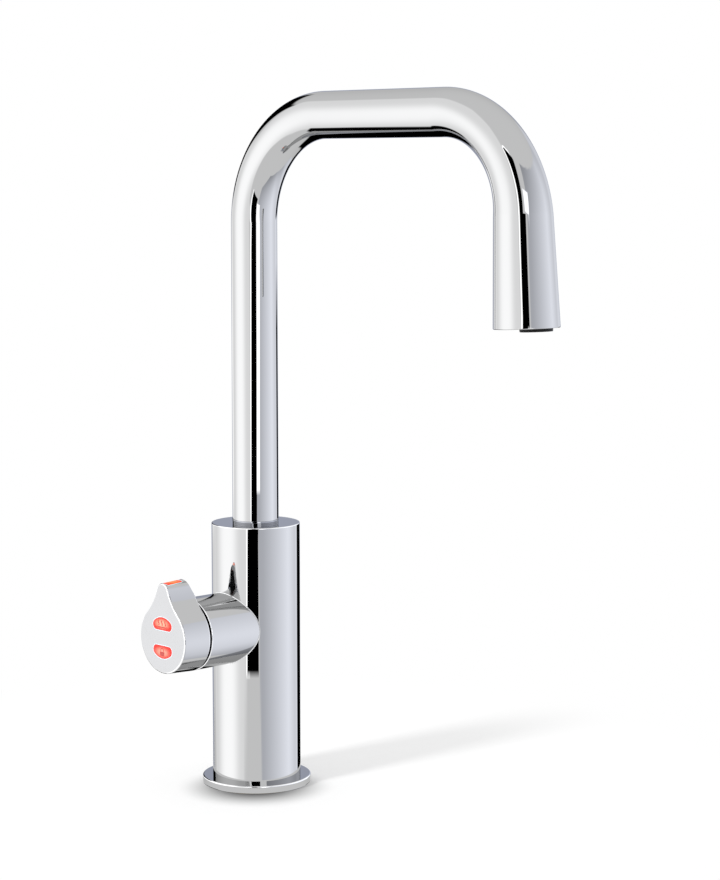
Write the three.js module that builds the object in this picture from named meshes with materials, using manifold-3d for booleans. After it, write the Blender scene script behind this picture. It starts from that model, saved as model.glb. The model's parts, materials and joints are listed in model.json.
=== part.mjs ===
// A boiling water tap for a kitchen worktop.
//
// A swivelling swan-neck spout stands on a round body. A drop-shaped lever sits on a side
// branch of the body, with two lit push buttons in its face and a small indicator window
// in its tip. Below the worktop a threaded shank, a washer and a nut clamp the tap.
//
// Millimetres, +Z up. The origin is the centre of the tap's foot on the worktop. The spout
// points to the front (-Y) and the lever to the left (-X).

import * as THREE from 'three';
import { mergeVertices } from 'three/addons/utils/BufferGeometryUtils.js';
import Module from 'manifold-3d';

const wasm = await Module();
wasm.setup();

// ---------------------------------------------------------------- driving dimensions

// fits shared by every piece
const fit_gap = 0.3;              // clearance between a piece and its seat or bore
const turning_gap = 0.3;          // clearance between pieces that turn on each other
const overshoot = 5.0;            // how far a cutter runs past what it cuts

// foot and body
const flange_radius = 27.8;
const flange_height = 3.9;
const flange_edge = 0.7;          // rounding of the flange's rims
const seal_inner_radius = 21.0;
const seal_outer_radius = 25.0;
const seal_height = 1.4;
const body_radius = 22.5;
const body_height = 134.6;        // worktop to the body's flat top
const body_wall = 3.5;
const body_edge = 0.45;           // bevel round the body's top
const body_top_wall = 14.0;       // solid top that carries the swivel bush
const thread_socket_height = 14.0;

// worktop clamp
const worktop_thickness = 30.0;
const shank_radius = 16.0;
const shank_bore_radius = 12.4;
const shank_length = 60.0;        // below the worktop's face
const clamp_radius = 25.0;
const gasket_height = 3.0;
const washer_height = 2.0;
const washer_slot = 9.0;          // mouth of the horseshoe washer
const nut_across_flats = 41.0;
const nut_height = 9.0;
const gland_height = 8.0;
const inlet_radius = 4.0;
const inlet_wall = 0.9;
const inlet_ring_radius = 7.2;    // the three tails stand on this circle
const inlet_tail = 14.0;          // bare end below the gland

// side branch and valve cartridge
const lever_axis_drop = 52.0;     // body top down to the lever's axis
const branch_radius = 18.1;
const branch_bore_radius = 14.4;
const branch_reach = 44.7;        // body axis to the branch's end face
const branch_edge = 0.4;
const cartridge_radius = 12.9;
const cartridge_length = 22.0;
const cartridge_seal_height = 1.2;
const cartridge_port_radius = 3.1;
const cartridge_port_offset = 6.45;
const mixed_way_radius = 2.6;     // from the cartridge back up to the spout
const cartridge_nut_height = 7.0;
const cartridge_nut_inset = 6.6;  // branch's end face to the nut's face
const cartridge_nut_slot = 3.2;
const cartridge_nut_slot_depth = 3.5;
const spindle_radius = 4.0;
const spindle_neck_radius = 6.0;
const spindle_socket = 9.0;       // how far the spindle reaches into the cartridge
const spindle_in_hub = 6.0;       // how far it reaches past the lever's back

// lever
const shadow_gap = 1.1;           // dark gap between the branch and the lever
const lever_ring_wall = 1.0;
const lever_ring_recess = 2.0;    // the ring's lip stands back from the branch's surface
const lever_depth = 15.9;
const lever_radius = 17.4;        // at the face
const lever_draft = 0.7;          // how much wider the lever is at its back, all round
const lever_tip_height = 27.8;    // lever axis to the top of the tip
const lever_relief = 2.8;         // how far forward the tip's back slopes up to its top
const lever_relief_start = 19.5;  // lever axis to the foot of that slope
const lever_tip_radius = 4.3;
const lever_waist_radius = 34.0;  // hollow flanks between the round and the tip
const lever_wall = 1.8;
const lever_front_wall = 2.0;
const lever_edge = 0.8;           // bevel round the face
const lever_back_edge = 0.7;      // bevel round the back
const hub_plate = 2.5;
const hub_recess = 0.5;
const hub_boss_radius = 8.0;
const hub_boss_height = 5.5;
const hub_screw_radius = 1.5;
const hub_screw_head_radius = 3.2;
const hub_screw_head_height = 1.2;
const hub_screw_length = 6.0;
const hub_screw_socket_radius = 1.5;
const hub_screw_socket_depth = 0.6;
const board_thickness = 1.2;

// buttons and lights
const button_circle_radius = 10.3; // both half-moons lie in this circle
const button_band = 3.9;          // half of the bare band between them
const button_corner = 2.4;
const button_lift = 0.5;          // the circle's centre above the lever's axis
const button_proud = 0.3;
const button_rim = 0.9;           // how far the hidden rim runs out behind the face
const button_rim_height = 0.6;
const button_travel = 0.7;
const button_gap = 0.2;           // sliding gap round each button
const plunger_radius = 1.6;
const switch_size = 5.0;
const switch_height = 1.2;
const led_length = 2.0;
const led_width = 1.2;
const led_height = 0.8;
const window_length = 10.0;
const window_width = 5.0;
const window_depth = 3.0;
const window_corner = 1.0;
const window_shift = 1.7;         // window's middle in front of the lever's middle depth

// spout
const stem_radius = 11.75;        // at the stem's foot
const run_radius = 11.5;          // from the end of the back bend
const tube_wall = 1.6;
const stem_gap = 1.8;             // body top to the shiny stem's foot
const spout_height = 350.7;       // worktop to the top of the level run
const back_bend_radius = 52.8;    // centre line
const level_run = 79.6;
const front_bend_radius = 49.1;
const leg_tilt = 3.0;             // degrees, the leg's foot leans outward
const leg_length = 50.5;
const leg_top_radius = 13.5;
const flare_power = 2.6;          // how late in the front bend the tube widens
const outlet_radius = 15.25;
const outlet_edge = 0.4;

// swivel
const spigot_radius = 10.4;
const spigot_nose_radius = 9.0;
const spigot_nose_length = 12.0;
const spigot_in_tube = 13.0;
const spigot_drop = 24.0;         // body top to the nose's shoulder
const collar_radius = 11.7;
const collar_groove = 0.25;
const bush_wall = 2.2;
const bush_height = 9.0;
const bush_lip = 2.0;             // wall of the body's top above the bush
const clip_height = 1.0;
const clip_reach = 1.8;
const clip_groove_depth = 0.9;
const clip_mouth = 6.0;
const o_ring_section = 0.75;      // radius of the rubber section
const o_ring_pitch = 5.0;

// spout's water ways
const core_top_gap = 2.0;         // free height between the core and the swivel's shoulder
const water_tube_radius = 4.0;
const water_tube_wall = 0.9;
const water_tube_offset = 4.7;    // each side of the spout's centre line
const carrier_height = 8.0;
const carrier_recess = 0.6;       // the outlet's rim stands past the carrier
const nozzle_radius = 7.6;
const nozzle_offset = 5.7;        // outward of the leg's axis
const nozzle_proud = 1.5;         // below the outlet's rim
const nozzle_depth = 5.0;
const nozzle_bore_radius = 5.6;
const nozzle_edge = 0.3;

// facets
const round_sides = 56;           // big rounds that show
const seal_sides = 40;            // thin rings that just show
const hidden_sides = 20;          // rounds inside and below the worktop
const small_sides = 12;           // holes, pins and pipes
const hexagon = 6;
const spout_sides = 34;
const water_tube_sides = 6;
const o_ring_sides = 6;
const bend_steps = 14;
const drop_round_steps = 20;      // half of the lever's round
const drop_waist_steps = 6;
const drop_tip_steps = 6;
const moon_corner_steps = 5;
const moon_round_steps = 10;
const window_corner_steps = 3;
const flange_foot_steps = 2;
const edge_steps = 3;
const lever_edge_steps = 2;

// ---------------------------------------------------------------- places worked out

const outlet_tilt = THREE.MathUtils.degToRad(leg_tilt);
const run_height = spout_height - run_radius;
const bend_height = run_height - back_bend_radius;
const stem_foot = body_height + stem_gap;
const lever_axis_height = body_height - lever_axis_drop;
const spigot_shoulder = body_height - spigot_drop;
const spigot_foot = spigot_shoulder - spigot_nose_length;
const spigot_top = stem_foot + spigot_in_tube;
const socket_top = flange_height + thread_socket_height;
const core_foot = socket_top + fit_gap;
const core_top = spigot_shoulder - core_top_gap;
const core_radius = body_radius - body_wall - fit_gap;
const cartridge_nut_front = branch_reach - cartridge_nut_inset;
const cartridge_nut_back = cartridge_nut_front - cartridge_nut_height;
const cartridge_front = cartridge_nut_back - fit_gap;
const cartridge_back = cartridge_front - cartridge_length;
const cartridge_seal_front = cartridge_back - fit_gap;
const cartridge_seal_back = cartridge_seal_front - cartridge_seal_height;
const cartridge_floor = cartridge_seal_back - fit_gap;
const spindle_back = cartridge_front - spindle_socket;
const lever_back = branch_reach + shadow_gap;
const board_back = hub_recess + hub_plate + hub_boss_height + fit_gap;
const board_front = board_back + board_thickness;
const face_back = lever_depth - lever_front_wall;
const rim_front = face_back - fit_gap;
const rim_back = rim_front - button_rim_height;
const bush_top = body_height - bush_lip - fit_gap;
const bush_foot = bush_top - bush_height;
const bush_radius = spigot_radius + turning_gap + bush_wall;
const clip_top = bush_foot - turning_gap;
const gland_top = -shank_length + gland_height;
const inlet_foot = -shank_length - inlet_tail;

// ---------------------------------------------------------------- finishes

const finish = (color, roughness, metalness, more = {}) =>
  new THREE.MeshStandardMaterial({ color, roughness, metalness, ...more });
const chrome = () => finish(0xd6d9df, 0.05, 1.0);
const face_chrome = () => finish(0xdcdee0, 0.1, 1.0);
const brass = () => finish(0xc9a45c, 0.35, 1.0);
const steel = () => finish(0xb9bcc0, 0.35, 1.0);
const copper = () => finish(0xc77b52, 0.35, 1.0);
const rubber = () => finish(0x141414, 0.85, 0.0);
const black_plastic = () => finish(0x0c0c0d, 0.35, 0.0);
const white_plastic = () => finish(0xe9e8e2, 0.5, 0.0);
const ceramic = () => finish(0xf0eee8, 0.3, 0.0);
const silicone = () => finish(0xdfe3e4, 0.45, 0.0);
const circuit_green = () => finish(0x1d5a36, 0.5, 0.0);
const lamp = () => finish(0xfff3e0, 0.3, 0.0);
const button_red = () => finish(0xff5248, 0.3, 0.0, { emissive: 0x7a1408 });
const window_orange = () => finish(0xff5a14, 0.25, 0.0, { emissive: 0x8a2a00 });

// ---------------------------------------------------------------- geometry helpers

/** Keeps only positions, joins shared corners, drops empty triangles, faces outward. */
function closedGeometry(source) {
  const bare = new THREE.BufferGeometry();
  bare.setAttribute('position', source.getAttribute('position').clone());
  if (source.index) bare.setIndex(source.index.clone());
  const merged = mergeVertices(bare, 1e-4);
  const index = merged.index.array;
  const place = merged.getAttribute('position');
  const kept = [];
  for (let i = 0; i < index.length; i += 3) {
    const [a, b, c] = [index[i], index[i + 1], index[i + 2]];
    if (a !== b && b !== c && c !== a) kept.push(a, b, c);
  }
  const [p, q, r] = [new THREE.Vector3(), new THREE.Vector3(), new THREE.Vector3()];
  let volume = 0;
  for (let i = 0; i < kept.length; i += 3) {
    p.fromBufferAttribute(place, kept[i]);
    q.fromBufferAttribute(place, kept[i + 1]);
    r.fromBufferAttribute(place, kept[i + 2]);
    volume += p.dot(q.cross(r));
  }
  if (volume < 0) {
    for (let i = 0; i < kept.length; i += 3) {
      [kept[i + 1], kept[i + 2]] = [kept[i + 2], kept[i + 1]];
    }
  }
  merged.setIndex(kept);
  return merged;
}

/** A closed geometry as a solid that can be joined and cut. */
function solid(geometry) {
  const closed = closedGeometry(geometry);
  return new wasm.Manifold(new wasm.Mesh({
    numProp: 3,
    vertProperties: new Float32Array(closed.getAttribute('position').array),
    triVerts: new Uint32Array(closed.index.array),
  }));
}

/** A joined or cut solid back as a geometry. */
function geometryOf(body) {
  const made = body.getMesh();
  const geometry = new THREE.BufferGeometry();
  geometry.setAttribute('position', new THREE.BufferAttribute(made.vertProperties, 3));
  geometry.setIndex(new THREE.BufferAttribute(made.triVerts, 1));
  return geometry;
}

/** One base solid with any number of tools cut out of it. */
function cut(base, ...tools) {
  return geometryOf(tools.reduce((left, tool) => left.subtract(solid(tool)), solid(base)));
}

/** Several solids joined into one. */
function join(...pieces) {
  return geometryOf(pieces.map(solid).reduce((sum, piece) => sum.add(piece)));
}

/** A profile of [radius, height] points turned about Z. */
function turned(profile, sides = round_sides) {
  const points = profile.map(([radius, height]) => new THREE.Vector2(radius, height));
  return closedGeometry(new THREE.LatheGeometry(points, sides).rotateX(Math.PI / 2));
}

/** A plain round bar along Z between two heights. */
function bar(radius, low, high, sides = round_sides) {
  return turned([[0, low], [radius, low], [radius, high], [0, high]], sides);
}

/** A plain ring along Z between two heights. */
function ring(inner, outer, low, high, sides = round_sides) {
  return turned([[inner, low], [outer, low], [outer, high], [inner, high], [inner, low]], sides);
}

/** Profile points of a quarter round from one direction to another, angles in degrees. */
function arcPoints(x, y, radius, from, to, steps) {
  return Array.from({ length: steps + 1 }, (_, i) => {
    const angle = THREE.MathUtils.degToRad(from + (to - from) * i / steps);
    return [x + radius * Math.cos(angle), y + radius * Math.sin(angle)];
  });
}

/** A flat outline of [x, y] points pulled up Z between two heights. */
function pulled(outline, low, high) {
  const shape = new THREE.Shape(outline.map(([x, y]) => new THREE.Vector2(x, y)));
  const made = new THREE.ExtrudeGeometry(shape, { depth: high - low, bevelEnabled: false });
  return closedGeometry(made.translate(0, 0, low));
}

/** Rings of points, each joined to the next, and the last to the first: a closed loft. */
function loft(rings) {
  const sides = rings[0].length;
  const positions = rings.flat().flatMap(point => point.toArray());
  const index = [];
  for (let i = 0; i < rings.length; i++) {
    const here = i * sides;
    const next = ((i + 1) % rings.length) * sides;
    for (let j = 0; j < sides; j++) {
      const k = (j + 1) % sides;
      index.push(here + j, here + k, next + k, here + j, next + k, next + j);
    }
  }
  const geometry = new THREE.BufferGeometry();
  geometry.setAttribute('position', new THREE.Float32BufferAttribute(positions, 3));
  geometry.setIndex(index);
  return closedGeometry(geometry);
}

/** A named piece in a group. */
function piece(group, name, geometry, material) {
  const mesh = new THREE.Mesh(closedGeometry(geometry), material);
  mesh.name = name;
  group.add(mesh);
  return mesh;
}

// ---------------------------------------------------------------- groups and frames

const tap = new THREE.Group();

// The lever's own frame: +X to the right as one faces it, +Y up, +Z out along its axis.
const lever_frame = new THREE.Matrix4().makeBasis(
  new THREE.Vector3(0, -1, 0),
  new THREE.Vector3(0, 0, 1),
  new THREE.Vector3(-1, 0, 0),
).setPosition(0, 0, lever_axis_height);
const lever_side = new THREE.Group();
lever_side.applyMatrix4(lever_frame);
tap.add(lever_side);
const lever = new THREE.Group();
lever.position.z = lever_back;
lever_side.add(lever);

// ---------------------------------------------------------------- foot and clamp

function baseFlange() {
  const bore = shank_radius + fit_gap;
  const top = flange_height - flange_edge;
  const rim = flange_radius - flange_edge;
  const groove = seal_height + fit_gap;
  return turned([
    [bore, 0],
    [seal_inner_radius - fit_gap, 0],
    [seal_inner_radius - fit_gap, groove],
    [seal_outer_radius + fit_gap, groove],
    [seal_outer_radius + fit_gap, 0],
    ...arcPoints(rim, flange_edge, flange_edge, -90, 0, flange_foot_steps),
    ...arcPoints(rim, top, flange_edge, 0, 90, edge_steps),
    [bore, flange_height],
    [bore, 0],
  ]);
}

function clampWasher() {
  const top = -worktop_thickness - gasket_height;
  const mouth = new THREE.BoxGeometry(clamp_radius * 2, washer_slot, overshoot * 2);
  return cut(
    ring(shank_radius + fit_gap, clamp_radius, top - washer_height, top, hidden_sides),
    mouth.translate(clamp_radius, 0, top),
  );
}

function clampNut() {
  const top = -worktop_thickness - gasket_height - washer_height;
  const foot = top - nut_height;
  const corner = nut_across_flats / 2 / Math.cos(Math.PI / hexagon);
  return cut(
    bar(corner, foot, top, hexagon),
    bar(shank_radius + fit_gap, foot - overshoot, top + overshoot, hidden_sides),
  );
}

/** Places of the three inlet tails round the shank's axis: boiling, chilled and ambient. */
const inlet_places = [0, 120, 240].map(angle => {
  const turn = THREE.MathUtils.degToRad(angle);
  return [inlet_ring_radius * Math.cos(turn), inlet_ring_radius * Math.sin(turn)];
});

function inletGland() {
  const low = -shank_length;
  const holes = inlet_places.map(([x, y]) =>
    bar(inlet_radius + fit_gap, low - overshoot, gland_top + overshoot, small_sides)
      .translate(x, y, 0));
  return cut(bar(shank_bore_radius - fit_gap, low, gland_top, hidden_sides), ...holes);
}

function inletTail(x, y) {
  const inner = inlet_radius - inlet_wall;
  return ring(inner, inlet_radius, inlet_foot, socket_top, small_sides).translate(x, y, 0);
}

piece(tap, 'base_flange', baseFlange(), chrome());
piece(
  tap, 'base_seal',
  ring(seal_inner_radius, seal_outer_radius, 0, seal_height, seal_sides), rubber(),
);
piece(
  tap, 'threaded_shank',
  ring(shank_bore_radius, shank_radius, -shank_length, socket_top, hidden_sides), brass(),
);
piece(
  tap, 'clamp_gasket',
  ring(
    shank_radius + fit_gap, clamp_radius,
    -worktop_thickness - gasket_height, -worktop_thickness, hidden_sides,
  ),
  rubber(),
);
piece(tap, 'clamp_washer', clampWasher(), steel());
piece(tap, 'clamp_nut', clampNut(), brass());
piece(tap, 'inlet_gland', inletGland(), black_plastic());
['boiling_inlet', 'chilled_inlet', 'ambient_inlet'].forEach((name, i) =>
  piece(tap, name, inletTail(...inlet_places[i]), copper()));

// ---------------------------------------------------------------- body and valve

function bodyShell() {
  const bore = body_radius - body_wall;
  const ceiling = body_height - body_top_wall;
  const outside = turned([
    [0, flange_height],
    [body_radius, flange_height],
    [body_radius, body_height - body_edge],
    [body_radius - body_edge, body_height],
    [0, body_height],
  ]);
  const branch = turned([
    [0, 0],
    [branch_radius, 0],
    [branch_radius, branch_reach - branch_edge],
    [branch_radius - branch_edge, branch_reach],
    [0, branch_reach],
  ]).applyMatrix4(lever_frame);
  return cut(
    join(outside, branch),
    bar(shank_radius + fit_gap, 0, socket_top + overshoot, hidden_sides),
    bar(bore, socket_top, ceiling, hidden_sides),
    bar(bush_radius + fit_gap, ceiling - overshoot, body_height - bush_lip, hidden_sides),
    bar(spigot_radius + turning_gap, ceiling, body_height + overshoot, hidden_sides),
    bar(branch_bore_radius, 0, branch_reach + overshoot, hidden_sides)
      .applyMatrix4(lever_frame),
  );
}

/**
 * Brass core with the water ways. Boiling water rises straight to the spout. Chilled and
 * ambient water rise to the cartridge's ports, and come back up to the spout mixed.
 */
function waterwayCore() {
  const pocket_radius = cartridge_radius + fit_gap;
  const pocket = bar(pocket_radius, cartridge_floor, core_radius + overshoot, hidden_sides)
    .applyMatrix4(lever_frame);
  const socket_radius = spigot_nose_radius + turning_gap;
  const socket_floor = spigot_foot - turning_gap;
  const socket = bar(socket_radius, socket_floor, core_top + overshoot, hidden_sides);
  const risers = inlet_places.map(([x, y], i) => {
    const top = i === 0 ? spigot_foot : lever_axis_height;
    return bar(inlet_radius - inlet_wall, 0, top, small_sides).translate(x, y, 0);
  });
  const ports = [-1, 1].map(side =>
    bar(cartridge_port_radius, 0, cartridge_floor + overshoot, small_sides)
      .translate(side * cartridge_port_offset, 0, 0)
      .applyMatrix4(lever_frame));
  const mixed = [
    bar(mixed_way_radius, water_tube_offset, cartridge_floor + overshoot, small_sides)
      .applyMatrix4(lever_frame),
    bar(mixed_way_radius, lever_axis_height, spigot_foot, small_sides)
      .translate(-water_tube_offset, 0, 0),
  ];
  return cut(
    bar(core_radius, core_foot, core_top, hidden_sides),
    pocket, socket, ...risers, ...ports, ...mixed,
  );
}

function cartridgeSeal() {
  const [low, high] = [cartridge_seal_back, cartridge_seal_front];
  const ports = [-1, 1].map(side =>
    bar(cartridge_port_radius, low - overshoot, high + overshoot, small_sides)
      .translate(side * cartridge_port_offset, 0, 0));
  return cut(bar(cartridge_radius - fit_gap, low, high, hidden_sides), ...ports);
}

function cartridgeBody() {
  return turned([
    [0, cartridge_back],
    [cartridge_radius, cartridge_back],
    [cartridge_radius, cartridge_front],
    [spindle_radius + turning_gap, cartridge_front],
    [spindle_radius + turning_gap, spindle_back - turning_gap],
    [0, spindle_back - turning_gap],
  ], hidden_sides);
}

function cartridgeNut() {
  const outer = branch_bore_radius - fit_gap;
  const inner = spindle_neck_radius + turning_gap;
  const slot = new THREE.BoxGeometry(
    (outer + overshoot) * 2, cartridge_nut_slot, cartridge_nut_slot_depth * 2,
  );
  return cut(
    ring(inner, outer, cartridge_nut_back, cartridge_nut_front, hidden_sides),
    slot.translate(0, 0, cartridge_nut_front),
  );
}

function spindle() {
  const front = lever_back + spindle_in_hub;
  const shoulder = cartridge_front + turning_gap * 2;
  const screw_hole = hub_screw_radius + fit_gap;
  return turned([
    [0, spindle_back],
    [spindle_radius, spindle_back],
    [spindle_radius, shoulder],
    [spindle_neck_radius, shoulder],
    [spindle_neck_radius, cartridge_nut_front],
    [spindle_radius, cartridge_nut_front],
    [spindle_radius, front],
    [screw_hole, front],
    [screw_hole, front - hub_screw_length],
    [0, front - hub_screw_length],
  ], small_sides);
}

/** Black bearing ring between the branch and the lever: the dark gap behind the lever. */
function leverRing() {
  const sleeve_outer = branch_bore_radius - fit_gap;
  const sleeve_inner = sleeve_outer - lever_ring_wall;
  const lip = branch_radius - lever_ring_recess;
  const back = branch_reach + fit_gap;
  const front = lever_back - turning_gap;
  return turned([
    [sleeve_inner, cartridge_nut_front + fit_gap],
    [sleeve_outer, cartridge_nut_front + fit_gap],
    [sleeve_outer, back],
    [lip, back],
    [lip, front],
    [sleeve_inner, front],
    [sleeve_inner, cartridge_nut_front + fit_gap],
  ], seal_sides);
}

piece(tap, 'body_shell', bodyShell(), chrome());
piece(tap, 'waterway_core', waterwayCore(), brass());
piece(lever_side, 'cartridge_seal', cartridgeSeal(), rubber());
piece(lever_side, 'cartridge_body', cartridgeBody(), ceramic());
piece(lever_side, 'cartridge_nut', cartridgeNut(), brass());
piece(lever_side, 'cartridge_spindle', spindle(), steel());
piece(lever_side, 'lever_ring', leverRing(), black_plastic());

// ---------------------------------------------------------------- lever

/**
 * The drop-shaped outline, moved inward by an inset: a round of lever_radius about the
 * axis and a small round at the tip, joined by hollow flanks that touch both.
 */
function dropOutline(inset) {
  const round = lever_radius - inset;
  const tip = lever_tip_radius - inset;
  const waist = lever_waist_radius + inset;
  const tip_centre = lever_tip_height - lever_tip_radius;
  const to_round = round + waist;
  const to_tip = tip + waist;
  const waist_y = (to_round ** 2 - to_tip ** 2 + tip_centre ** 2) / (2 * tip_centre);
  const waist_x = Math.sqrt(to_round ** 2 - waist_y ** 2);
  const degrees = (y, x) => THREE.MathUtils.radToDeg(Math.atan2(y, x));
  const round_end = degrees(waist_y, waist_x);
  const tip_start = degrees(waist_y - tip_centre, waist_x);
  const right = [
    ...arcPoints(0, 0, round, -90, round_end, drop_round_steps).slice(0, -1),
    ...arcPoints(waist_x, waist_y, waist, 180 + round_end, 180 + tip_start, drop_waist_steps),
    ...arcPoints(0, tip_centre, tip, tip_start, 90, drop_tip_steps).slice(1),
  ];
  const left = right.slice(1, -1).reverse().map(([x, y]) => [-x, y]);
  return [...right, ...left];
}

/** The drop outline pulled into a block that widens to its back, with bevelled edges. */
function dropBlock() {
  const rings = [
    [lever_back_edge - lever_draft, 0],
    [-lever_draft, lever_back_edge],
    ...arcPoints(
      lever_edge, lever_depth - lever_edge, lever_edge, 180, 90, lever_edge_steps,
    ),
  ].map(([inset, height]) =>
    dropOutline(inset).map(([x, y]) => new THREE.Vector3(x, y, height)));
  const caps = [rings[0], rings.at(-1)].map(outline =>
    THREE.ShapeUtils.triangulateShape(outline, []));
  const sides = rings[0].length;
  const index = [];
  for (let i = 0; i + 1 < rings.length; i++) {
    for (let j = 0; j < sides; j++) {
      const k = (j + 1) % sides;
      const [here, next] = [i * sides, (i + 1) * sides];
      index.push(here + j, here + k, next + k, here + j, next + k, next + j);
    }
  }
  const last = (rings.length - 1) * sides;
  caps[0].forEach(([a, b, c]) => index.push(c, b, a));
  caps[1].forEach(([a, b, c]) => index.push(last + a, last + b, last + c));
  const geometry = new THREE.BufferGeometry();
  const positions = rings.flat().flatMap(point => point.toArray());
  geometry.setAttribute('position', new THREE.Float32BufferAttribute(positions, 3));
  geometry.setIndex(index);
  return closedGeometry(geometry);
}

/** The wedge that slopes the tip's back, moved forward by a distance. */
function tipRelief(forward) {
  const top = lever_tip_height + overshoot;
  const slope = lever_relief / (lever_tip_height - lever_relief_start);
  const outline = [
    [-overshoot, lever_relief_start],
    [forward, lever_relief_start],
    [forward + slope * (top - lever_relief_start), top],
    [-overshoot, top],
  ];
  return pulled(outline, -lever_radius, lever_radius).rotateY(-Math.PI / 2);
}

/**
 * Half-moon of the upper button, grown by a margin: the cap of a circle above a straight
 * edge, with both corners rounded.
 */
function moonOutline(margin) {
  const corner = button_corner + margin;
  const centre_y = button_band + button_corner;
  const centre_x = Math.sqrt((button_circle_radius - button_corner) ** 2 - centre_y ** 2);
  const turn = THREE.MathUtils.radToDeg(Math.atan2(centre_y, centre_x));
  return [
    ...arcPoints(centre_x, centre_y, corner, -90, turn, moon_corner_steps),
    ...arcPoints(0, 0, button_circle_radius + margin, turn, 180 - turn, moon_round_steps)
      .slice(1),
    ...arcPoints(-centre_x, centre_y, corner, 180 - turn, 270, moon_corner_steps).slice(1),
  ];
}

/** The same half-moon for the upper button (side 1) or the lower one (side -1). */
function moonBlock(side, margin, low, high) {
  const outline = moonOutline(margin).map(([x, y]) => [x, y * side]);
  return pulled(side > 0 ? outline : outline.reverse(), low, high)
    .translate(0, button_lift, 0);
}

/** Where a button's plunger, switch and lamp stand along the lever's height. */
const buttonMiddle = side =>
  button_lift + side * (button_band + button_circle_radius) / 2;

/** Slot of the indicator window in the lever's tip, made smaller by an inset. */
function windowSlot(inset, depth) {
  const half_length = window_length / 2 - inset;
  const half_width = window_width / 2 - inset;
  const round = window_corner - inset;
  const steps = window_corner_steps;
  const outline = [
    ...arcPoints(half_width - round, half_length - round, round, 0, 90, steps),
    ...arcPoints(round - half_width, half_length - round, round, 90, 180, steps),
    ...arcPoints(round - half_width, round - half_length, round, 180, 270, steps),
    ...arcPoints(half_width - round, round - half_length, round, 270, 360, steps),
  ];
  return pulled(outline, -depth, overshoot)
    .rotateX(-Math.PI / 2)
    .translate(0, lever_tip_height, lever_depth / 2 + window_shift);
}

function leverShell() {
  return cut(
    dropBlock(),
    pulled(dropOutline(lever_wall), -overshoot, face_back),
    moonBlock(1, button_gap, 0, lever_depth + overshoot),
    moonBlock(-1, button_gap, 0, lever_depth + overshoot),
    windowSlot(0, window_depth),
    tipRelief(0),
  );
}

function indicatorWindow() {
  return geometryOf(solid(windowSlot(fit_gap, window_depth - fit_gap))
    .intersect(solid(dropBlock())));
}

function leverHub() {
  const back = hub_recess;
  const plate_front = back + hub_plate;
  const boss_front = plate_front + hub_boss_height;
  const socket = bar(spindle_radius + fit_gap, 0, spindle_in_hub + fit_gap, small_sides);
  const screw_way = bar(hub_screw_radius + fit_gap, 0, lever_depth, small_sides);
  const head_way = bar(
    hub_screw_head_radius + fit_gap, boss_front - hub_screw_head_height, lever_depth,
    small_sides,
  );
  return cut(
    join(
      pulled(dropOutline(lever_wall + fit_gap), back, plate_front),
      bar(hub_boss_radius, back, boss_front, hidden_sides),
    ),
    socket, screw_way, head_way, tipRelief(hub_recess),
  );
}

function hubScrew() {
  const front = hub_recess + hub_plate + hub_boss_height;
  const shoulder = front - hub_screw_head_height + fit_gap;
  const tip = spindle_in_hub - hub_screw_length + fit_gap;
  return cut(
    turned([
      [0, tip],
      [hub_screw_radius, tip],
      [hub_screw_radius, shoulder],
      [hub_screw_head_radius, shoulder],
      [hub_screw_head_radius, front],
      [0, front],
    ], small_sides),
    bar(hub_screw_socket_radius, front - hub_screw_socket_depth, lever_depth, hexagon),
  );
}

/** The board follows the lever's outline and stops short of the indicator window. */
function switchBoard() {
  const window_floor = lever_tip_height - window_depth;
  const clearing = new THREE.BoxGeometry(lever_radius, window_depth * 2, lever_depth * 2);
  return cut(
    pulled(dropOutline(lever_wall + fit_gap), board_back, board_front),
    clearing.translate(0, window_floor - fit_gap + window_depth, 0),
  );
}

function button(side) {
  return join(
    moonBlock(side, 0, rim_front - button_rim_height / 2, lever_depth + button_proud),
    moonBlock(side, button_rim, rim_back, rim_front),
  );
}

function switchCase(side) {
  const block = new THREE.BoxGeometry(switch_size, switch_size, switch_height);
  const middle = board_front + switch_height / 2;
  return cut(
    block.translate(0, buttonMiddle(side), middle),
    bar(plunger_radius + turning_gap, 0, lever_depth, small_sides)
      .translate(0, buttonMiddle(side), 0),
  );
}

function plunger(side) {
  const low = board_front + button_travel + turning_gap / 2;
  return bar(plunger_radius, low, rim_back - fit_gap, small_sides)
    .translate(0, buttonMiddle(side), 0);
}

function lampBlock(x, y) {
  const block = new THREE.BoxGeometry(led_length, led_width, led_height);
  return block.translate(x, y, board_front + led_height / 2);
}

piece(lever, 'lever_shell', leverShell(), face_chrome());
piece(lever, 'lever_hub', leverHub(), black_plastic());
piece(lever, 'hub_screw', hubScrew(), steel());
piece(lever, 'switch_board', switchBoard(), circuit_green());
[['upper', 1], ['lower', -1]].forEach(([name, side]) => {
  piece(lever, `${name}_button`, button(side), button_red());
  piece(lever, `${name}_plunger`, plunger(side), white_plastic());
  piece(lever, `${name}_switch`, switchCase(side), black_plastic());
  const lamp_x = switch_size / 2 + led_length;
  piece(lever, `${name}_lamp`, lampBlock(lamp_x, buttonMiddle(side)), lamp());
});
piece(
  lever, 'indicator_lamp',
  lampBlock(0, lever_tip_height - lever_tip_radius - led_width), lamp(),
);
piece(lever, 'indicator_window', indicatorWindow(), window_orange());

// ---------------------------------------------------------------- spout

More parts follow.
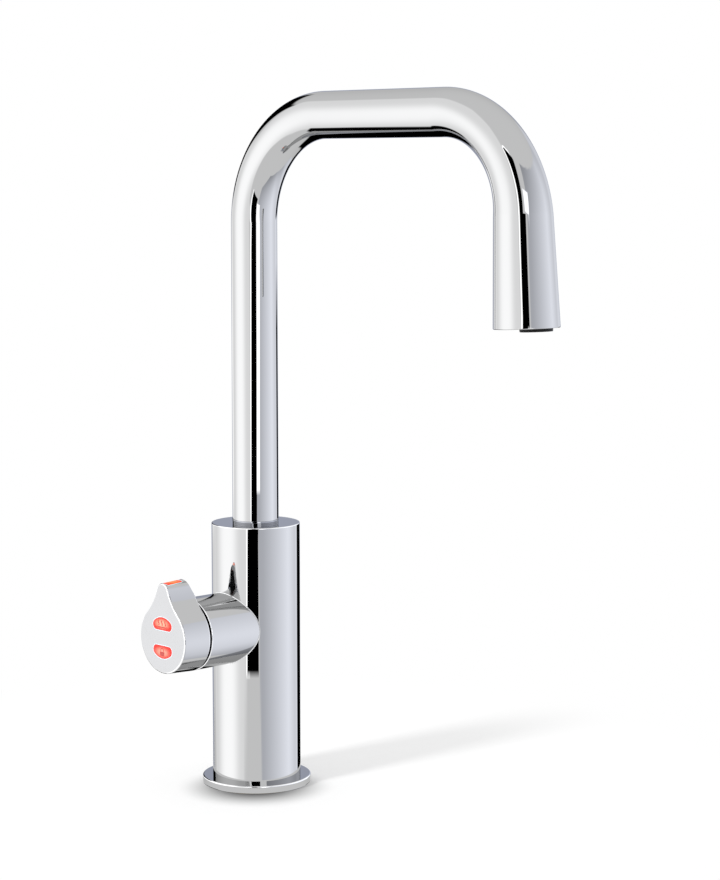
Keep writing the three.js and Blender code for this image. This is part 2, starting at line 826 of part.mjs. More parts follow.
/**
 * Centre line of the spout in the plane x = 0, from the stem's foot to the outlet. Each
 * station holds its place, the direction square to the line in that plane, and the
 * outer radius of the tube there.
 */
function spoutStations(from_height, leg_end, steps) {
  const stations = [];
  const add = (y, z, turn, radius) => stations.push({
    place: new THREE.Vector3(0, y, z),
    square: new THREE.Vector3(0, Math.cos(turn), Math.sin(turn)),
    radius,
  });
  const stem_length = bend_height - stem_foot;
  const narrowing = (stem_radius - run_radius) / (stem_length + back_bend_radius * Math.PI / 2);
  add(0, from_height, 0, stem_radius - narrowing * (from_height - stem_foot));
  for (let i = 0; i <= steps; i++) {
    const turn = Math.PI / 2 * i / steps;
    const y = -back_bend_radius * (1 - Math.cos(turn));
    const z = bend_height + back_bend_radius * Math.sin(turn);
    add(y, z, turn, stem_radius - narrowing * (stem_length + back_bend_radius * turn));
  }
  const front_start = -back_bend_radius - level_run;
  const sweep = Math.PI / 2 - outlet_tilt;
  for (let i = 0; i <= steps; i++) {
    const turn = sweep * i / steps;
    const y = front_start - front_bend_radius * Math.sin(turn);
    const z = run_height - front_bend_radius * (1 - Math.cos(turn));
    const grown = (leg_top_radius - run_radius) * (i / steps) ** flare_power;
    add(y, z, Math.PI / 2 + turn, run_radius + grown);
  }
  const leg_top = stations.at(-1).place;
  add(
    leg_top.y - leg_end * Math.sin(outlet_tilt),
    leg_top.z - leg_end * Math.cos(outlet_tilt),
    Math.PI - outlet_tilt,
    leg_top_radius + (outlet_radius - leg_top_radius) * leg_end / leg_length,
  );
  return stations;
}

/** One round of points about a station, at a radius and a sideways offset. */
function round(station, radius, offset, sides) {
  return Array.from({ length: sides }, (_, i) => {
    const angle = 2 * Math.PI * i / sides;
    return station.place.clone()
      .addScaledVector(station.square, radius * Math.cos(angle))
      .add(new THREE.Vector3(offset + radius * Math.sin(angle), 0, 0));
  });
}

function spoutTube() {
  const stations = spoutStations(stem_foot, leg_length - outlet_edge, bend_steps);
  const rim = spoutStations(stem_foot, leg_length, bend_steps).at(-1);
  const inside = spoutStations(stem_foot, leg_length, bend_steps / 2);
  return loft([
    ...stations.map(station => round(station, station.radius, 0, spout_sides)),
    round(rim, rim.radius - outlet_edge, 0, spout_sides),
    ...inside.map(station => round(station, station.radius - tube_wall, 0, spout_sides))
      .reverse(),
  ]);
}

/** A plain pipe beside the spout's centre line, from the swivel to the outlet. */
function waterTube(side) {
  const end = leg_length - carrier_recess - carrier_height - fit_gap;
  const stations = spoutStations(spigot_top + fit_gap, end, bend_steps / 2);
  const rounds = radius => stations.map(station =>
    round(station, radius, side * water_tube_offset, water_tube_sides));
  return loft([
    ...rounds(water_tube_radius),
    ...rounds(water_tube_radius - water_tube_wall).reverse(),
  ]);
}

function swivelSpigot() {
  const in_tube = stem_radius - tube_wall - fit_gap;
  const groove = spigot_nose_radius + fit_gap - 2 * o_ring_section - 2 * fit_gap;
  const half = o_ring_section + fit_gap / 2;
  const middle = (spigot_foot + spigot_shoulder) / 2;
  const grooves = [middle - o_ring_pitch / 2, middle + o_ring_pitch / 2].flatMap(height => [
    [spigot_nose_radius, height - half],
    [groove, height - half],
    [groove, height + half],
    [spigot_nose_radius, height + half],
  ]);
  const clip_floor = spigot_radius - clip_groove_depth;
  const profile = turned([
    [0, spigot_foot],
    [spigot_nose_radius, spigot_foot],
    ...grooves,
    [spigot_nose_radius, spigot_shoulder],
    [spigot_radius, spigot_shoulder],
    [spigot_radius, clip_top - clip_height - fit_gap],
    [clip_floor, clip_top - clip_height - fit_gap],
    [clip_floor, clip_top + fit_gap / 2],
    [spigot_radius, clip_top + fit_gap / 2],
    [spigot_radius, stem_foot - fit_gap],
    [in_tube, stem_foot - fit_gap],
    [in_tube, spigot_top],
    [0, spigot_top],
  ], hidden_sides);
  const ways = [-1, 1].map(side =>
    bar(water_tube_radius - water_tube_wall, 0, spout_height, small_sides)
      .translate(side * water_tube_offset, 0, 0));
  return cut(profile, ...ways);
}

function swivelCollar() {
  const inner = spigot_radius + turning_gap;
  const low = body_height;
  const high = stem_foot - fit_gap;
  const middle = (low + high) / 2;
  return turned([
    [inner, low],
    [collar_radius, low],
    [collar_radius, middle - collar_groove],
    [collar_radius - collar_groove, middle],
    [collar_radius, middle + collar_groove],
    [collar_radius, high],
    [inner, high],
    [inner, low],
  ]);
}

/** Open spring clip under the bush: it keeps the spout from being pulled out. */
function retainingClip() {
  const inner = spigot_radius - clip_groove_depth + fit_gap;
  const outer = spigot_radius + clip_reach;
  const low = clip_top - clip_height;
  const mouth = new THREE.BoxGeometry(outer, clip_mouth, overshoot * 2);
  return cut(
    ring(inner, outer, low, clip_top, hidden_sides),
    mouth.translate(0, outer, clip_top),
  );
}

function oRing(step) {
  const middle = (spigot_foot + spigot_shoulder) / 2 + step * o_ring_pitch / 2;
  const radius = spigot_nose_radius + turning_gap / 2 - o_ring_section;
  return closedGeometry(
    new THREE.TorusGeometry(radius, o_ring_section, o_ring_sides, hidden_sides)
      .translate(0, 0, middle),
  );
}

piece(
  tap, 'swivel_bush',
  ring(spigot_radius + turning_gap, bush_radius, bush_foot, bush_top, hidden_sides),
  white_plastic(),
);
piece(tap, 'spout_tube', spoutTube(), chrome());
piece(tap, 'swivel_spigot', swivelSpigot(), brass());
piece(tap, 'swivel_collar', swivelCollar(), chrome());
piece(tap, 'retaining_clip', retainingClip(), steel());
piece(tap, 'upper_o_ring', oRing(1), rubber());
piece(tap, 'lower_o_ring', oRing(-1), rubber());
piece(tap, 'boiling_water_tube', waterTube(-1), silicone());
piece(tap, 'chilled_water_tube', waterTube(1), silicone());

// ---------------------------------------------------------------- outlet

// The outlet's own frame: origin on the leg's axis at the rim, +Z back up the leg, +Y
// towards the tap's body.
const outlet_place = spoutStations(stem_foot, leg_length, bend_steps).at(-1).place;
const outlet = new THREE.Group();
outlet.position.copy(outlet_place);
outlet.rotation.x = -outlet_tilt;
tap.add(outlet);

function outletCarrier() {
  const taper = (outlet_radius - leg_top_radius) / leg_length;
  const low = carrier_recess;
  const high = low + carrier_height;
  const inner = height => outlet_radius - tube_wall - fit_gap - height * taper;
  const ways = [-1, 1].map(side =>
    bar(water_tube_radius - water_tube_wall, low - overshoot, high + overshoot, small_sides)
      .translate(side * water_tube_offset, 0, 0));
  const seat_radius = nozzle_radius + fit_gap;
  const seat = bar(seat_radius, low - overshoot, nozzle_depth + fit_gap, hidden_sides)
    .translate(0, -nozzle_offset, 0);
  return cut(
    turned([[0, low], [inner(low), low], [inner(high), high], [0, high]], hidden_sides),
    seat, ...ways,
  );
}

function outletNozzle() {
  return turned([
    [0, nozzle_depth],
    [nozzle_radius, nozzle_depth],
    [nozzle_radius, nozzle_edge - nozzle_proud],
    [nozzle_radius - nozzle_edge, -nozzle_proud],
    [nozzle_bore_radius, -nozzle_proud],
    [nozzle_bore_radius, 0],
    [0, 0],
  ], hidden_sides).translate(0, -nozzle_offset, 0);
}

piece(outlet, 'outlet_carrier', outletCarrier(), black_plastic());
piece(outlet, 'outlet_nozzle', outletNozzle(), black_plastic());

export default tap;
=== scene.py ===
"""Looks of a boiling water tap: chrome spout, body and side lever with two lit buttons.

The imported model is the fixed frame, in metres. The pieces that show are rebuilt here from
the same sizes with fine, exactly shaded surfaces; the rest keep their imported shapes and
get their own materials.
"""

import json
import math

import bmesh
import bpy
import numpy as np
from mathutils import Matrix, Vector


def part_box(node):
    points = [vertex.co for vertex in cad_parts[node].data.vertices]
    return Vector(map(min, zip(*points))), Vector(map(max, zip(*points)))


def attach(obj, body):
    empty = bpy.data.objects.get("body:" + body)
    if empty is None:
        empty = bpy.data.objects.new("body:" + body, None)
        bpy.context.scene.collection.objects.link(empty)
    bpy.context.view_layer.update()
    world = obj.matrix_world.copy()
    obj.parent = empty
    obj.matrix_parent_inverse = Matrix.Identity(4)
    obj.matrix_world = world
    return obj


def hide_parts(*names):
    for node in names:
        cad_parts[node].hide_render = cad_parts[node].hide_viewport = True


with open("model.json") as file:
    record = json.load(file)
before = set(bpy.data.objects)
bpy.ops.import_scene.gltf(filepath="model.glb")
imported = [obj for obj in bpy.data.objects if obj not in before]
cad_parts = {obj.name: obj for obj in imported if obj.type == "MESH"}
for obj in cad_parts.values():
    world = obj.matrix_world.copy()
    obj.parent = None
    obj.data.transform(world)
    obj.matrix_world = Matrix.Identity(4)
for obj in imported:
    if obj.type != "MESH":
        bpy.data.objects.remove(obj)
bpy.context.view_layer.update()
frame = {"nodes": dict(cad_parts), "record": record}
nodes = frame["nodes"]

MM = 0.001

# ------------------------------------------------------------------ camera

CAMERA_AZIMUTH = math.radians(-44)
CAMERA_PITCH = math.radians(6.597)
CAMERA_FOCAL_PX = 2350.0          # focal length in pixels of the 720 x 880 picture
PICTURE_HEIGHT = 880.0
CAMERA_SIDE = 53.17               # mm to the camera's right of the tap's axis
CAMERA_DISTANCE = 1184.42
CAMERA_HEIGHT = 313.57

right = Vector((math.cos(CAMERA_AZIMUTH), math.sin(CAMERA_AZIMUTH), 0))
back = Vector((math.sin(CAMERA_AZIMUTH), -math.cos(CAMERA_AZIMUTH), 0))
up = Vector((0, 0, 1))


def make_camera():
    """The photograph's viewpoint, found by fitting the tap's outline."""
    forward = -back * math.cos(CAMERA_PITCH) - up * math.sin(CAMERA_PITCH)
    data = bpy.data.cameras.new("camera")
    data.sensor_width = 36.0
    data.lens = CAMERA_FOCAL_PX / PICTURE_HEIGHT * data.sensor_width
    data.clip_start = 0.01
    data.clip_end = 200.0
    camera = bpy.data.objects.new("camera", data)
    turn = Matrix((right, right.cross(forward), -forward)).transposed().to_4x4()
    place = right * CAMERA_SIDE + back * CAMERA_DISTANCE + up * CAMERA_HEIGHT
    camera.matrix_world = Matrix.Translation(place * MM) @ turn
    bpy.context.scene.collection.objects.link(camera)
    bpy.context.scene.camera = camera


make_camera()

# ------------------------------------------------------------------ shader helpers


def new_material(name):
    material = bpy.data.materials.new(name)
    material.use_nodes = True
    material.node_tree.nodes.clear()
    return material, material.node_tree


def add(tree, kind, inputs=None, **settings):
    """One shader node, with its settings and its socket values or links."""
    node = tree.nodes.new(kind)
    for key, value in settings.items():
        setattr(node, key, value)
    for key, value in (inputs or {}).items():
        socket = node.inputs[key]
        if isinstance(value, bpy.types.NodeSocket):
            tree.links.new(value, socket)
        else:
            socket.default_value = value
    return node


def maths(tree, operation, first, second):
    """One Math node's result."""
    return add(tree, "ShaderNodeMath", {0: first, 1: second}, operation=operation).outputs[0]


def ranged(tree, value, low, high, to_low, to_high, smooth=False):
    """A value moved from one range to another, held at both ends."""
    node = add(tree, "ShaderNodeMapRange", {
        "Value": value, "From Min": low, "From Max": high, "To Min": to_low, "To Max": to_high,
    }, clamp=True)
    if smooth:
        node.interpolation_type = "SMOOTHSTEP"
    return node.outputs[0]


def blend(tree, factor, first, second):
    """A colour between two others."""
    node = add(tree, "ShaderNodeMix", data_type="RGBA")
    for socket, value in ((node.inputs[0], factor), (node.inputs[6], first),
                          (node.inputs[7], second)):
        if isinstance(value, bpy.types.NodeSocket):
            tree.links.new(value, socket)
        elif isinstance(value, tuple):
            socket.default_value = (*value, 1.0)
        else:
            socket.default_value = value
    return node.outputs[2]


def noise(tree, scale, detail=2.0, vector=None):
    """Cloudy values about 0.5, fixed to the object unless another vector is given."""
    if vector is None:
        vector = add(tree, "ShaderNodeTexCoord").outputs["Object"]
    node = add(tree, "ShaderNodeTexNoise", {"Vector": vector, "Scale": scale, "Detail": detail})
    return node.outputs["Fac"]


def bumped(tree, height, distance, strength=1.0):
    node = add(tree, "ShaderNodeBump", {
        "Height": height, "Distance": distance, "Strength": strength,
    })
    return node.outputs["Normal"]


def principled(tree, inputs):
    shader = add(tree, "ShaderNodeBsdfPrincipled", inputs)
    add(tree, "ShaderNodeOutputMaterial", {"Surface": shader.outputs[0]})


def backdrop_rays(tree):
    """1 for camera, glossy and transmission rays, which see the backdrop itself."""
    path = add(tree, "ShaderNodeLightPath")
    seen = maths(tree, "MAXIMUM", path.outputs["Is Camera Ray"], path.outputs["Is Glossy Ray"])
    return maths(tree, "MAXIMUM", seen, path.outputs["Is Transmission Ray"])


# ------------------------------------------------------------------ world, floor and sun

WORLD_LIGHT = 0.80                # soft light of the world on a white surface
SUN_LIGHT = 0.27                  # what the low sun adds to the floor
SUN_AZIMUTH = 176.4               # it stands on the lever's side
SUN_ELEVATION = 27.0
SUN_WIDTH = 10.0
FLOOR_GLOW = 0.35                 # share of the floor's white that no shadow takes
CONTACT_CENTRE = back * 0.01325   # the painted contact shadow lies a little towards the camera
CONTACT_START = 0.0055            # black within this distance of its centre,
CONTACT_END = 0.042               # and gone at this one
FADE_START = 0.14                 # the long shadow fades out between these distances
FADE_END = 0.27
FLOOR_SIZE = 120


def make_world():
    world = bpy.data.worlds.new("studio")
    bpy.context.scene.world = world
    world.use_nodes = True
    tree = world.node_tree
    tree.nodes.clear()
    light = add(tree, "ShaderNodeBackground", {"Color": (1, 1, 1, 1), "Strength": WORLD_LIGHT})
    white = add(tree, "ShaderNodeBackground", {"Color": (1, 1, 1, 1), "Strength": 1.0})
    mixed = add(tree, "ShaderNodeMixShader", {
        0: backdrop_rays(tree), 1: light.outputs[0], 2: white.outputs[0],
    })
    add(tree, "ShaderNodeOutputWorld", {"Surface": mixed.outputs[0]})


def make_floor():
    """A wide white floor, with a soft contact shadow of the foot painted into its colour."""
    material, tree = new_material("pale_floor")
    place = add(tree, "ShaderNodeTexCoord").outputs["Object"]
    reach = add(tree, "ShaderNodeVectorMath", {0: place, 1: tuple(CONTACT_CENTRE)},
                operation="DISTANCE")
    # Painted contact shadow: the floor's colour goes black towards a point near the foot.
    painted_contact_shadow = ranged(tree, reach.outputs["Value"], CONTACT_START, CONTACT_END, 0.0, 1.0,
                     smooth=True)
    white = blend(tree, painted_contact_shadow, (0.0, 0.0, 0.0), (1.0, 1.0, 1.0))
    lit = add(tree, "ShaderNodeBsdfDiffuse", {"Color": white})
    plain = add(tree, "ShaderNodeEmission", {"Color": white, "Strength": 1.0})
    glow = ranged(tree, reach.outputs["Value"], FADE_START, FADE_END, FLOOR_GLOW, 1.0,
                  smooth=True)
    share = maths(tree, "MULTIPLY", backdrop_rays(tree), glow)
    mixed = add(tree, "ShaderNodeMixShader", {0: share, 1: lit.outputs[0], 2: plain.outputs[0]})
    add(tree, "ShaderNodeOutputMaterial", {"Surface": mixed.outputs[0]})
    bpy.ops.mesh.primitive_plane_add(size=FLOOR_SIZE)
    floor = bpy.context.object
    floor.name = "floor"
    floor.data.materials.append(material)
    floor.visible_glossy = False   # the surround below shows in the metal all the way down


def make_sun():
    data = bpy.data.lights.new("sun", "SUN")
    data.angle = math.radians(SUN_WIDTH)
    data.energy = SUN_LIGHT * math.pi / math.sin(math.radians(SUN_ELEVATION))
    sun = bpy.data.objects.new("sun", data)
    a, e = math.radians(SUN_AZIMUTH), math.radians(SUN_ELEVATION)
    towards = Vector((math.cos(a) * math.cos(e), math.sin(a) * math.cos(e), math.sin(e)))
    sun.rotation_mode = "QUATERNION"
    sun.rotation_quaternion = towards.to_track_quat("Z", "Y")
    sun.visible_camera = False
    sun.visible_glossy = False
    bpy.context.scene.collection.objects.link(sun)


make_world()
make_floor()
make_sun()

# ------------------------------------------------------------------ studio cards

# The metal shows a photographer's studio: white softboxes, black flags and a grey wall.
# Each is a curved card round the tap, drawn by azimuth and elevation in degrees, where
# azimuth 0 points at the camera and 90 to its right. A nearer card hides a farther one.
# Most stand far off. The four close ones line up on the stem, body, leg and both bends.

SOFTBOX_DISTANCE = 90.0
WALL_DISTANCE = 88.0
FLAG_DISTANCE = 82.0
NEAR_BORDER_DISTANCE = 0.96
NEAR_FLAG_DISTANCE = 0.95
NEAR_PATCH_DISTANCE = 0.94
NEAR_STRIP_DISTANCE = 0.6
NEAR_FLOOR_RADIUS = 42.0          # mm
NEAR_FLOOR_LIFT = 0.0005
NEAR_FLOOR_SIDES = 96
BLACK = (0.0, 0.0, 0.0)
BRIGHT = (2.3, 2.3, 2.3)
STRIP_TONE = (2.1, 2.1, 2.1)
PATCH_TONE = (2.1, 2.1, 2.2)
WALL_TONE = (0.62, 0.66, 0.80)


def studio_direction(azimuth, elevation):
    a, e = np.radians(azimuth), np.radians(elevation)
    flat = np.cos(e)[..., None]
    across = np.cos(a)[..., None] * np.array(back) + np.sin(a)[..., None] * np.array(right)
    return flat * across + np.sin(e)[..., None] * np.array(up)


def depth_inside(x, y, outline):
    """Distance to a closed outline, positive inside it."""
    corners = np.array(outline, float)
    inside = np.zeros(x.shape, bool)
    nearest = np.full(x.shape, np.inf)
    for (ax, ay), (bx, by) in zip(corners, np.roll(corners, -1, axis=0)):
        dx, dy = bx - ax, by - ay
        t = np.clip(((x - ax) * dx + (y - ay) * dy) / (dx * dx + dy * dy), 0, 1)
        nearest = np.minimum(nearest, np.hypot(x - ax - t * dx, y - ay - t * dy))
        if ay != by:
            where = ax + (y - ay) / (by - ay) * dx
            inside ^= ((ay > y) != (by > y)) & (x < where)
    return np.where(inside, nearest, -nearest)


def card_material():
    material, tree = new_material("studio_card")
    tone = add(tree, "ShaderNodeAttribute", attribute_name="tone")
    glow = add(tree, "ShaderNodeEmission", {"Color": tone.outputs["Color"], "Strength": 1.0})
    clear = add(tree, "ShaderNodeBsdfTransparent")
    mixed = add(tree, "ShaderNodeMixShader", {
        0: tone.outputs["Alpha"], 1: clear.outputs[0], 2: glow.outputs[0],
    })
    add(tree, "ShaderNodeOutputMaterial", {"Surface": mixed.outputs[0]})
    material.cycles.emission_sampling = "NONE"
    return material


CARD_MATERIAL = card_material()
CARD_CENTRE = np.array((0, 0, 0.2))


def reflected_only(card):
    """A card shows in shiny surfaces alone: it neither lights nor hides anything."""
    card.data.materials.append(CARD_MATERIAL)
    card.visible_camera = False
    card.visible_diffuse = False
    card.visible_transmission = False
    card.visible_volume_scatter = False
    card.visible_shadow = False
    bpy.context.scene.collection.objects.link(card)


def grid_lines(low, high, soft, step):
    """Even lines between two limits, with three more that follow each softened edge."""
    count = max(math.ceil((high - low - 2 * soft) / step), 1)
    inner = np.linspace(low + soft, high - soft, count + 1)
    return np.concatenate([[low - soft, low], inner, [high, high + soft]])


def make_card(name, distance, outline, tone, soft=1.0, step=1.0):
    """A card with this outline and softened edge, in one colour or in tone(azimuth,
    elevation)."""
    corners = np.array(outline, float)
    low, high = corners.min(0), corners.max(0)
    columns, rows = (grid_lines(low[i], high[i], soft, step) for i in (0, 1))
    azimuth, elevation = np.meshgrid(columns, rows, indexing="ij")
    alpha = np.clip(depth_inside(azimuth, elevation, outline) / (2 * soft) + 0.5, 0, 1)
    alpha = alpha * alpha * (3 - 2 * alpha)
    colour = tone(azimuth, elevation) if callable(tone) else np.array(tone)
    colour = np.broadcast_to(colour, azimuth.shape + (3,))
    colours = np.concatenate([colour, alpha[..., None]], -1)
    points = studio_direction(azimuth, elevation) * distance + CARD_CENTRE
    height = len(rows)
    faces = []
    for i in range(len(columns) - 1):
        for j in range(height - 1):
            if alpha[i:i + 2, j:j + 2].max() > 0:
                k = i * height + j
                faces.append((k, k + height, k + height + 1, k + 1))
    mesh = bpy.data.meshes.new(name)
    mesh.from_pydata(points.reshape(-1, 3).tolist(), [], faces)
    layer = mesh.color_attributes.new("tone", "FLOAT_COLOR", "POINT")
    layer.data.foreach_set("color", colours.astype(np.float32).ravel())
    reflected_only(bpy.data.objects.new(name, mesh))


def left_softbox(azimuth, elevation):
    """An even middle that falls off to all sides, and a bright strip at its far edge."""
    middle, level_line = -76, -7
    across = (azimuth - middle) / np.where(azimuth > middle, 27.4, 32.4)
    height = (elevation - level_line) / np.where(elevation > level_line, 29.5, 34.0)
    level = 1.29 + 0.55 * np.exp(-np.abs(across) ** 3.3 - np.abs(height) ** 3.5)
    level = level + np.where(azimuth < -125, 0.09, 0.0)
    strip = np.exp(-((azimuth + 143) / 7) ** 2) * np.clip((elevation + 9) / 1.5, 0, 1)
    return (level + 0.85 * strip * np.clip((1 - elevation) / 6, 0.2, 1))[..., None] * np.ones(3)


def right_softbox(azimuth, elevation):
    """A cool wall of light, dim at its near edge, bright at its middle, dimmer high and low."""
    level = np.interp(azimuth, [13, 22, 88, 95, 103, 111, 125, 129, 136],
                      [0.75, 0.78, 1.40, 1.47, 1.41, 1.32, 1.21, 1.29, 1.45])
    brightest = -9
    above = np.clip(elevation - brightest, 0, None)
    below = np.clip(brightest - elevation, 0, None)
    level = level * (1 - 0.18 * (above / 35) ** 1.5) * (1 - 0.2 * (below / 29) ** 1.9)
    return level[..., None] * np.array((0.97, 0.995, 1.075))


def near_floor():
    """The lit floor close round the foot, which the foot's own side reflects."""
    mesh = bpy.data.meshes.new("near_floor")
    sides = NEAR_FLOOR_SIDES
    angles = np.linspace(0, 2 * np.pi, sides, endpoint=False)
    rim = np.stack([np.cos(angles), np.sin(angles), np.full(sides, NEAR_FLOOR_LIFT)], -1)
    rim[:, :2] *= NEAR_FLOOR_RADIUS * MM
    mesh.from_pydata(rim.tolist(), [], [tuple(range(sides))])
    layer = mesh.color_attributes.new("tone", "FLOAT_COLOR", "POINT")
    layer.data.foreach_set("color", np.ones(sides * 4, np.float32))
    reflected_only(bpy.data.objects.new("near_floor", mesh))


make_card("left_softbox", SOFTBOX_DISTANCE, [
    (-124, 14), (-122, 36), (-105, 49), (-75, 56), (-52, 50), (-40, 41), (-30, 22),
    (-23, 5), (-22, -12.3), (-30, -14.6), (-38, -23), (-50, -33), (-70, -44), (-95, -49),
    (-118, -42), (-130, -16), (-133, -13), (-160, -11.5), (-160, 12),
], left_softbox, soft=2.5, step=1.5)
make_card("right_softbox", SOFTBOX_DISTANCE, [
    (16, -40), (16, -14.8), (12, -12.3), (10.5, -9), (13, 44), (90, 38), (150, 30), (162, 0),
    (150, -45), (90, -58), (45, -58),
], right_softbox, soft=0.8, step=1.5)
make_card("flag_border", NEAR_BORDER_DISTANCE, [
    (-23.8, -20.25), (-22.5, -16), (-22.3, -12), (-20.4, -5.5), (-17.3, 2.6), (-11.0, 6.2),
    (-11.4, 10.2), (-13.5, 22), (-18, 33), (-21, 38.5), (-24.6, 42.5), (-22.1, 45), (-17, 46.5),
    (-7, 45.8), (-2, 43), (-4, 6), (-10, 2.6), (-13, -6), (-14, -20.25),
], BRIGHT, soft=0.2, step=0.5)
make_card("near_flag", NEAR_FLAG_DISTANCE, [
    (-20.8, -20.25), (-19.5, -16.3), (-18.7, -13.6), (-17.7, -11), (-16.3, -7.7), (-15.4, -5.5),
    (-14.3, -2.8), (-13.1, -0.1), (-12.1, 2.6), (-6.5, 6.2), (-7.2, 9.3), (-8.0, 16),
    (-9.9, 24), (-13, 31.3), (-15.8, 36.1), (-19.6, 41.4), (-22.1, 43.5), (-17.4, 45),
    (-7.6, 44.3), (0, 43.2), (2, 42), (2.3, 35), (3.7, 26), (4, 13.6), (12.2, 12.8), (13.3, 6.2),
    (13.5, -2), (10.9, -9), (10, -11.8), (8.9, -13), (8.9, -20.25),
], BLACK, soft=0.2, step=0.4)
make_card("low_strip", NEAR_STRIP_DISTANCE, [
    (9.2, -12.2), (9.4, -11.3), (10.1, -8.4), (10.9, -5.6), (11.8, -2), (12.2, 1.6), (12.8, 5.2),
    (13.2, 7.2), (31, 7.2), (30.4, 5.2), (29.2, 1.6), (26.8, -5.6), (24.8, -12.2),
], STRIP_TONE, soft=0.2, step=0.4)
make_card("high_patch", NEAR_PATCH_DISTANCE, [
    (10.5, 15.9), (9.3, 27.3), (24.3, 25.6), (22.6, 11.3),
], PATCH_TONE, soft=0.3, step=0.5)
make_card("back_flag", FLAG_DISTANCE, [
    (-175, 8), (-167, 24), (-160, 35), (-122, 31), (-127.5, 26), (-130.5, 21.5), (-134, 18),
    (-137.5, 14.5), (-142, 10), (-144, 6), (-143, 2.5), (-175, 0.5),
], BLACK, soft=1.5)
make_card("low_back_flag", FLAG_DISTANCE, [
    (165, -14), (180, -13), (193, -15.2), (210, -15.5), (231, -22), (245, -40), (238, -47),
    (190, -47), (168, -48),
], BLACK, soft=1.5)
make_card("side_flag", FLAG_DISTANCE, [
    (137, -3), (137.5, -10), (138.5, -15), (148, -27), (172, -28), (172, -9.5), (164, -8.5),
    (161, -3),
], BLACK, soft=0.8, step=0.5)
make_card("back_wall", WALL_DISTANCE, [
    (165, -16), (158, -6), (158, 22), (205, 22), (205, -6), (213, -16),
], WALL_TONE, soft=3.0)
near_floor()

# ------------------------------------------------------------------ materials


def chrome(name, colour, roughness):
    """Plated metal: a mirror with the faint haze and waviness that polishing leaves."""
    material, tree = new_material(name)
    haze = noise(tree, 900.0, 3.0)
    waves = noise(tree, 35.0, 1.0)
    principled(tree, {
        "Base Color": (*colour, 1), "Metallic": 1.0,
        "Roughness": ranged(tree, haze, 0.3, 0.7, roughness * 0.7, roughness * 1.4),
        "Specular Tint": (0.7, 0.7, 0.7, 1),
        "Normal": bumped(tree, waves, 0.000004, 0.2),
    })
    return material


def satin_metal(name, colour, dark, roughness, grain=(1, 1, 12), relief=0.00004):
    """Machined metal: fine tool lines, and stains in its tone."""
    material, tree = new_material(name)
    place = add(tree, "ShaderNodeTexCoord").outputs["Object"]
    stretched = add(tree, "ShaderNodeMapping", {"Vector": place, "Scale": grain})
    lines = noise(tree, 900.0, 4.0, stretched.outputs[0])
    stains = noise(tree, 90.0, 3.0)
    colours = blend(tree, ranged(tree, stains, 0.35, 0.7, 0, 1), colour, dark)
    principled(tree, {
        "Base Color": colours, "Metallic": 1.0,
        "Roughness": ranged(tree, lines, 0.3, 0.7, roughness * 0.75, roughness * 1.3),
        "Normal": bumped(tree, lines, relief, 0.5),
    })
    return material


def moulded(name, colour, light, roughness, grain=2500.0, sheen=0.5):
    """Moulded plastic, rubber or ceramic: a pebbled skin with slight shade changes."""
    material, tree = new_material(name)
    pebbles = noise(tree, grain, 2.0)
    clouds = noise(tree, 120.0, 3.0)
    principled(tree, {
        "Base Color": blend(tree, ranged(tree, clouds, 0.3, 0.75, 0, 1), colour, light),
        "Roughness": ranged(tree, pebbles, 0.3, 0.7, roughness * 0.85, roughness * 1.15),
        "Specular IOR Level": sheen,
        "Normal": bumped(tree, pebbles, 0.00003, 0.5),
    })
    return material


def circuit_board():
    """Green solder mask with fine copper tracks under it."""
    material, tree = new_material("circuit_green")
    place = add(tree, "ShaderNodeTexCoord").outputs["Object"]
    tracks = add(tree, "ShaderNodeTexBrick", {
        "Vector": place, "Scale": 420.0, "Mortar Size": 0.08,
    }, offset=0.5)
    mask = noise(tree, 700.0, 2.0)
    green = blend(tree, ranged(tree, mask, 0.3, 0.7, 0, 1), (0.01, 0.09, 0.035),
                  (0.015, 0.13, 0.05))
    principled(tree, {
        "Base Color": blend(tree, tracks.outputs["Fac"], green, (0.05, 0.22, 0.08)),
        "Roughness": ranged(tree, mask, 0.3, 0.7, 0.28, 0.42),
        "Normal": bumped(tree, tracks.outputs["Fac"], 0.00003, 0.6),
    })
    return material


def lit_plastic(name, deep, bright, centre, reach, glow, shine=0.2):
    """Plastic that glows, pale at its middle and deep at its edge: lit from behind in the buttons
    and the window, a painted glow in the clear frames.
    """
    material, tree = new_material(name)
    place = add(tree, "ShaderNodeTexCoord").outputs["Object"]
    offset = add(tree, "ShaderNodeVectorMath", {0: place, 1: tuple(Vector(centre))},
                 operation="SUBTRACT")
    scaled = add(tree, "ShaderNodeVectorMath", {
        0: offset.outputs[0], 1: tuple(1 / (axis * MM) for axis in reach),
    }, operation="MULTIPLY")
    distance = add(tree, "ShaderNodeVectorMath", {0: scaled.outputs[0]}, operation="LENGTH")
    cells = noise(tree, 1400.0, 2.0)
    ring = maths(tree, "ADD", distance.outputs["Value"], ranged(tree, cells, 0, 1, -0.12, 0.12))
    colour = blend(tree, ranged(tree, ring, 0.2, 0.95, 0, 1, smooth=True), bright, deep)
    principled(tree, {
        "Base Color": colour, "Roughness": ranged(tree, cells, 0.3, 0.7, 0.12, 0.2),
        "Emission Color": colour, "Emission Strength": glow,
        "Coat Weight": 0.7 * shine, "Coat Roughness": 0.05, "Specular IOR Level": shine,
        "Normal": bumped(tree, cells, 0.00001, 0.3),
    })
    return material


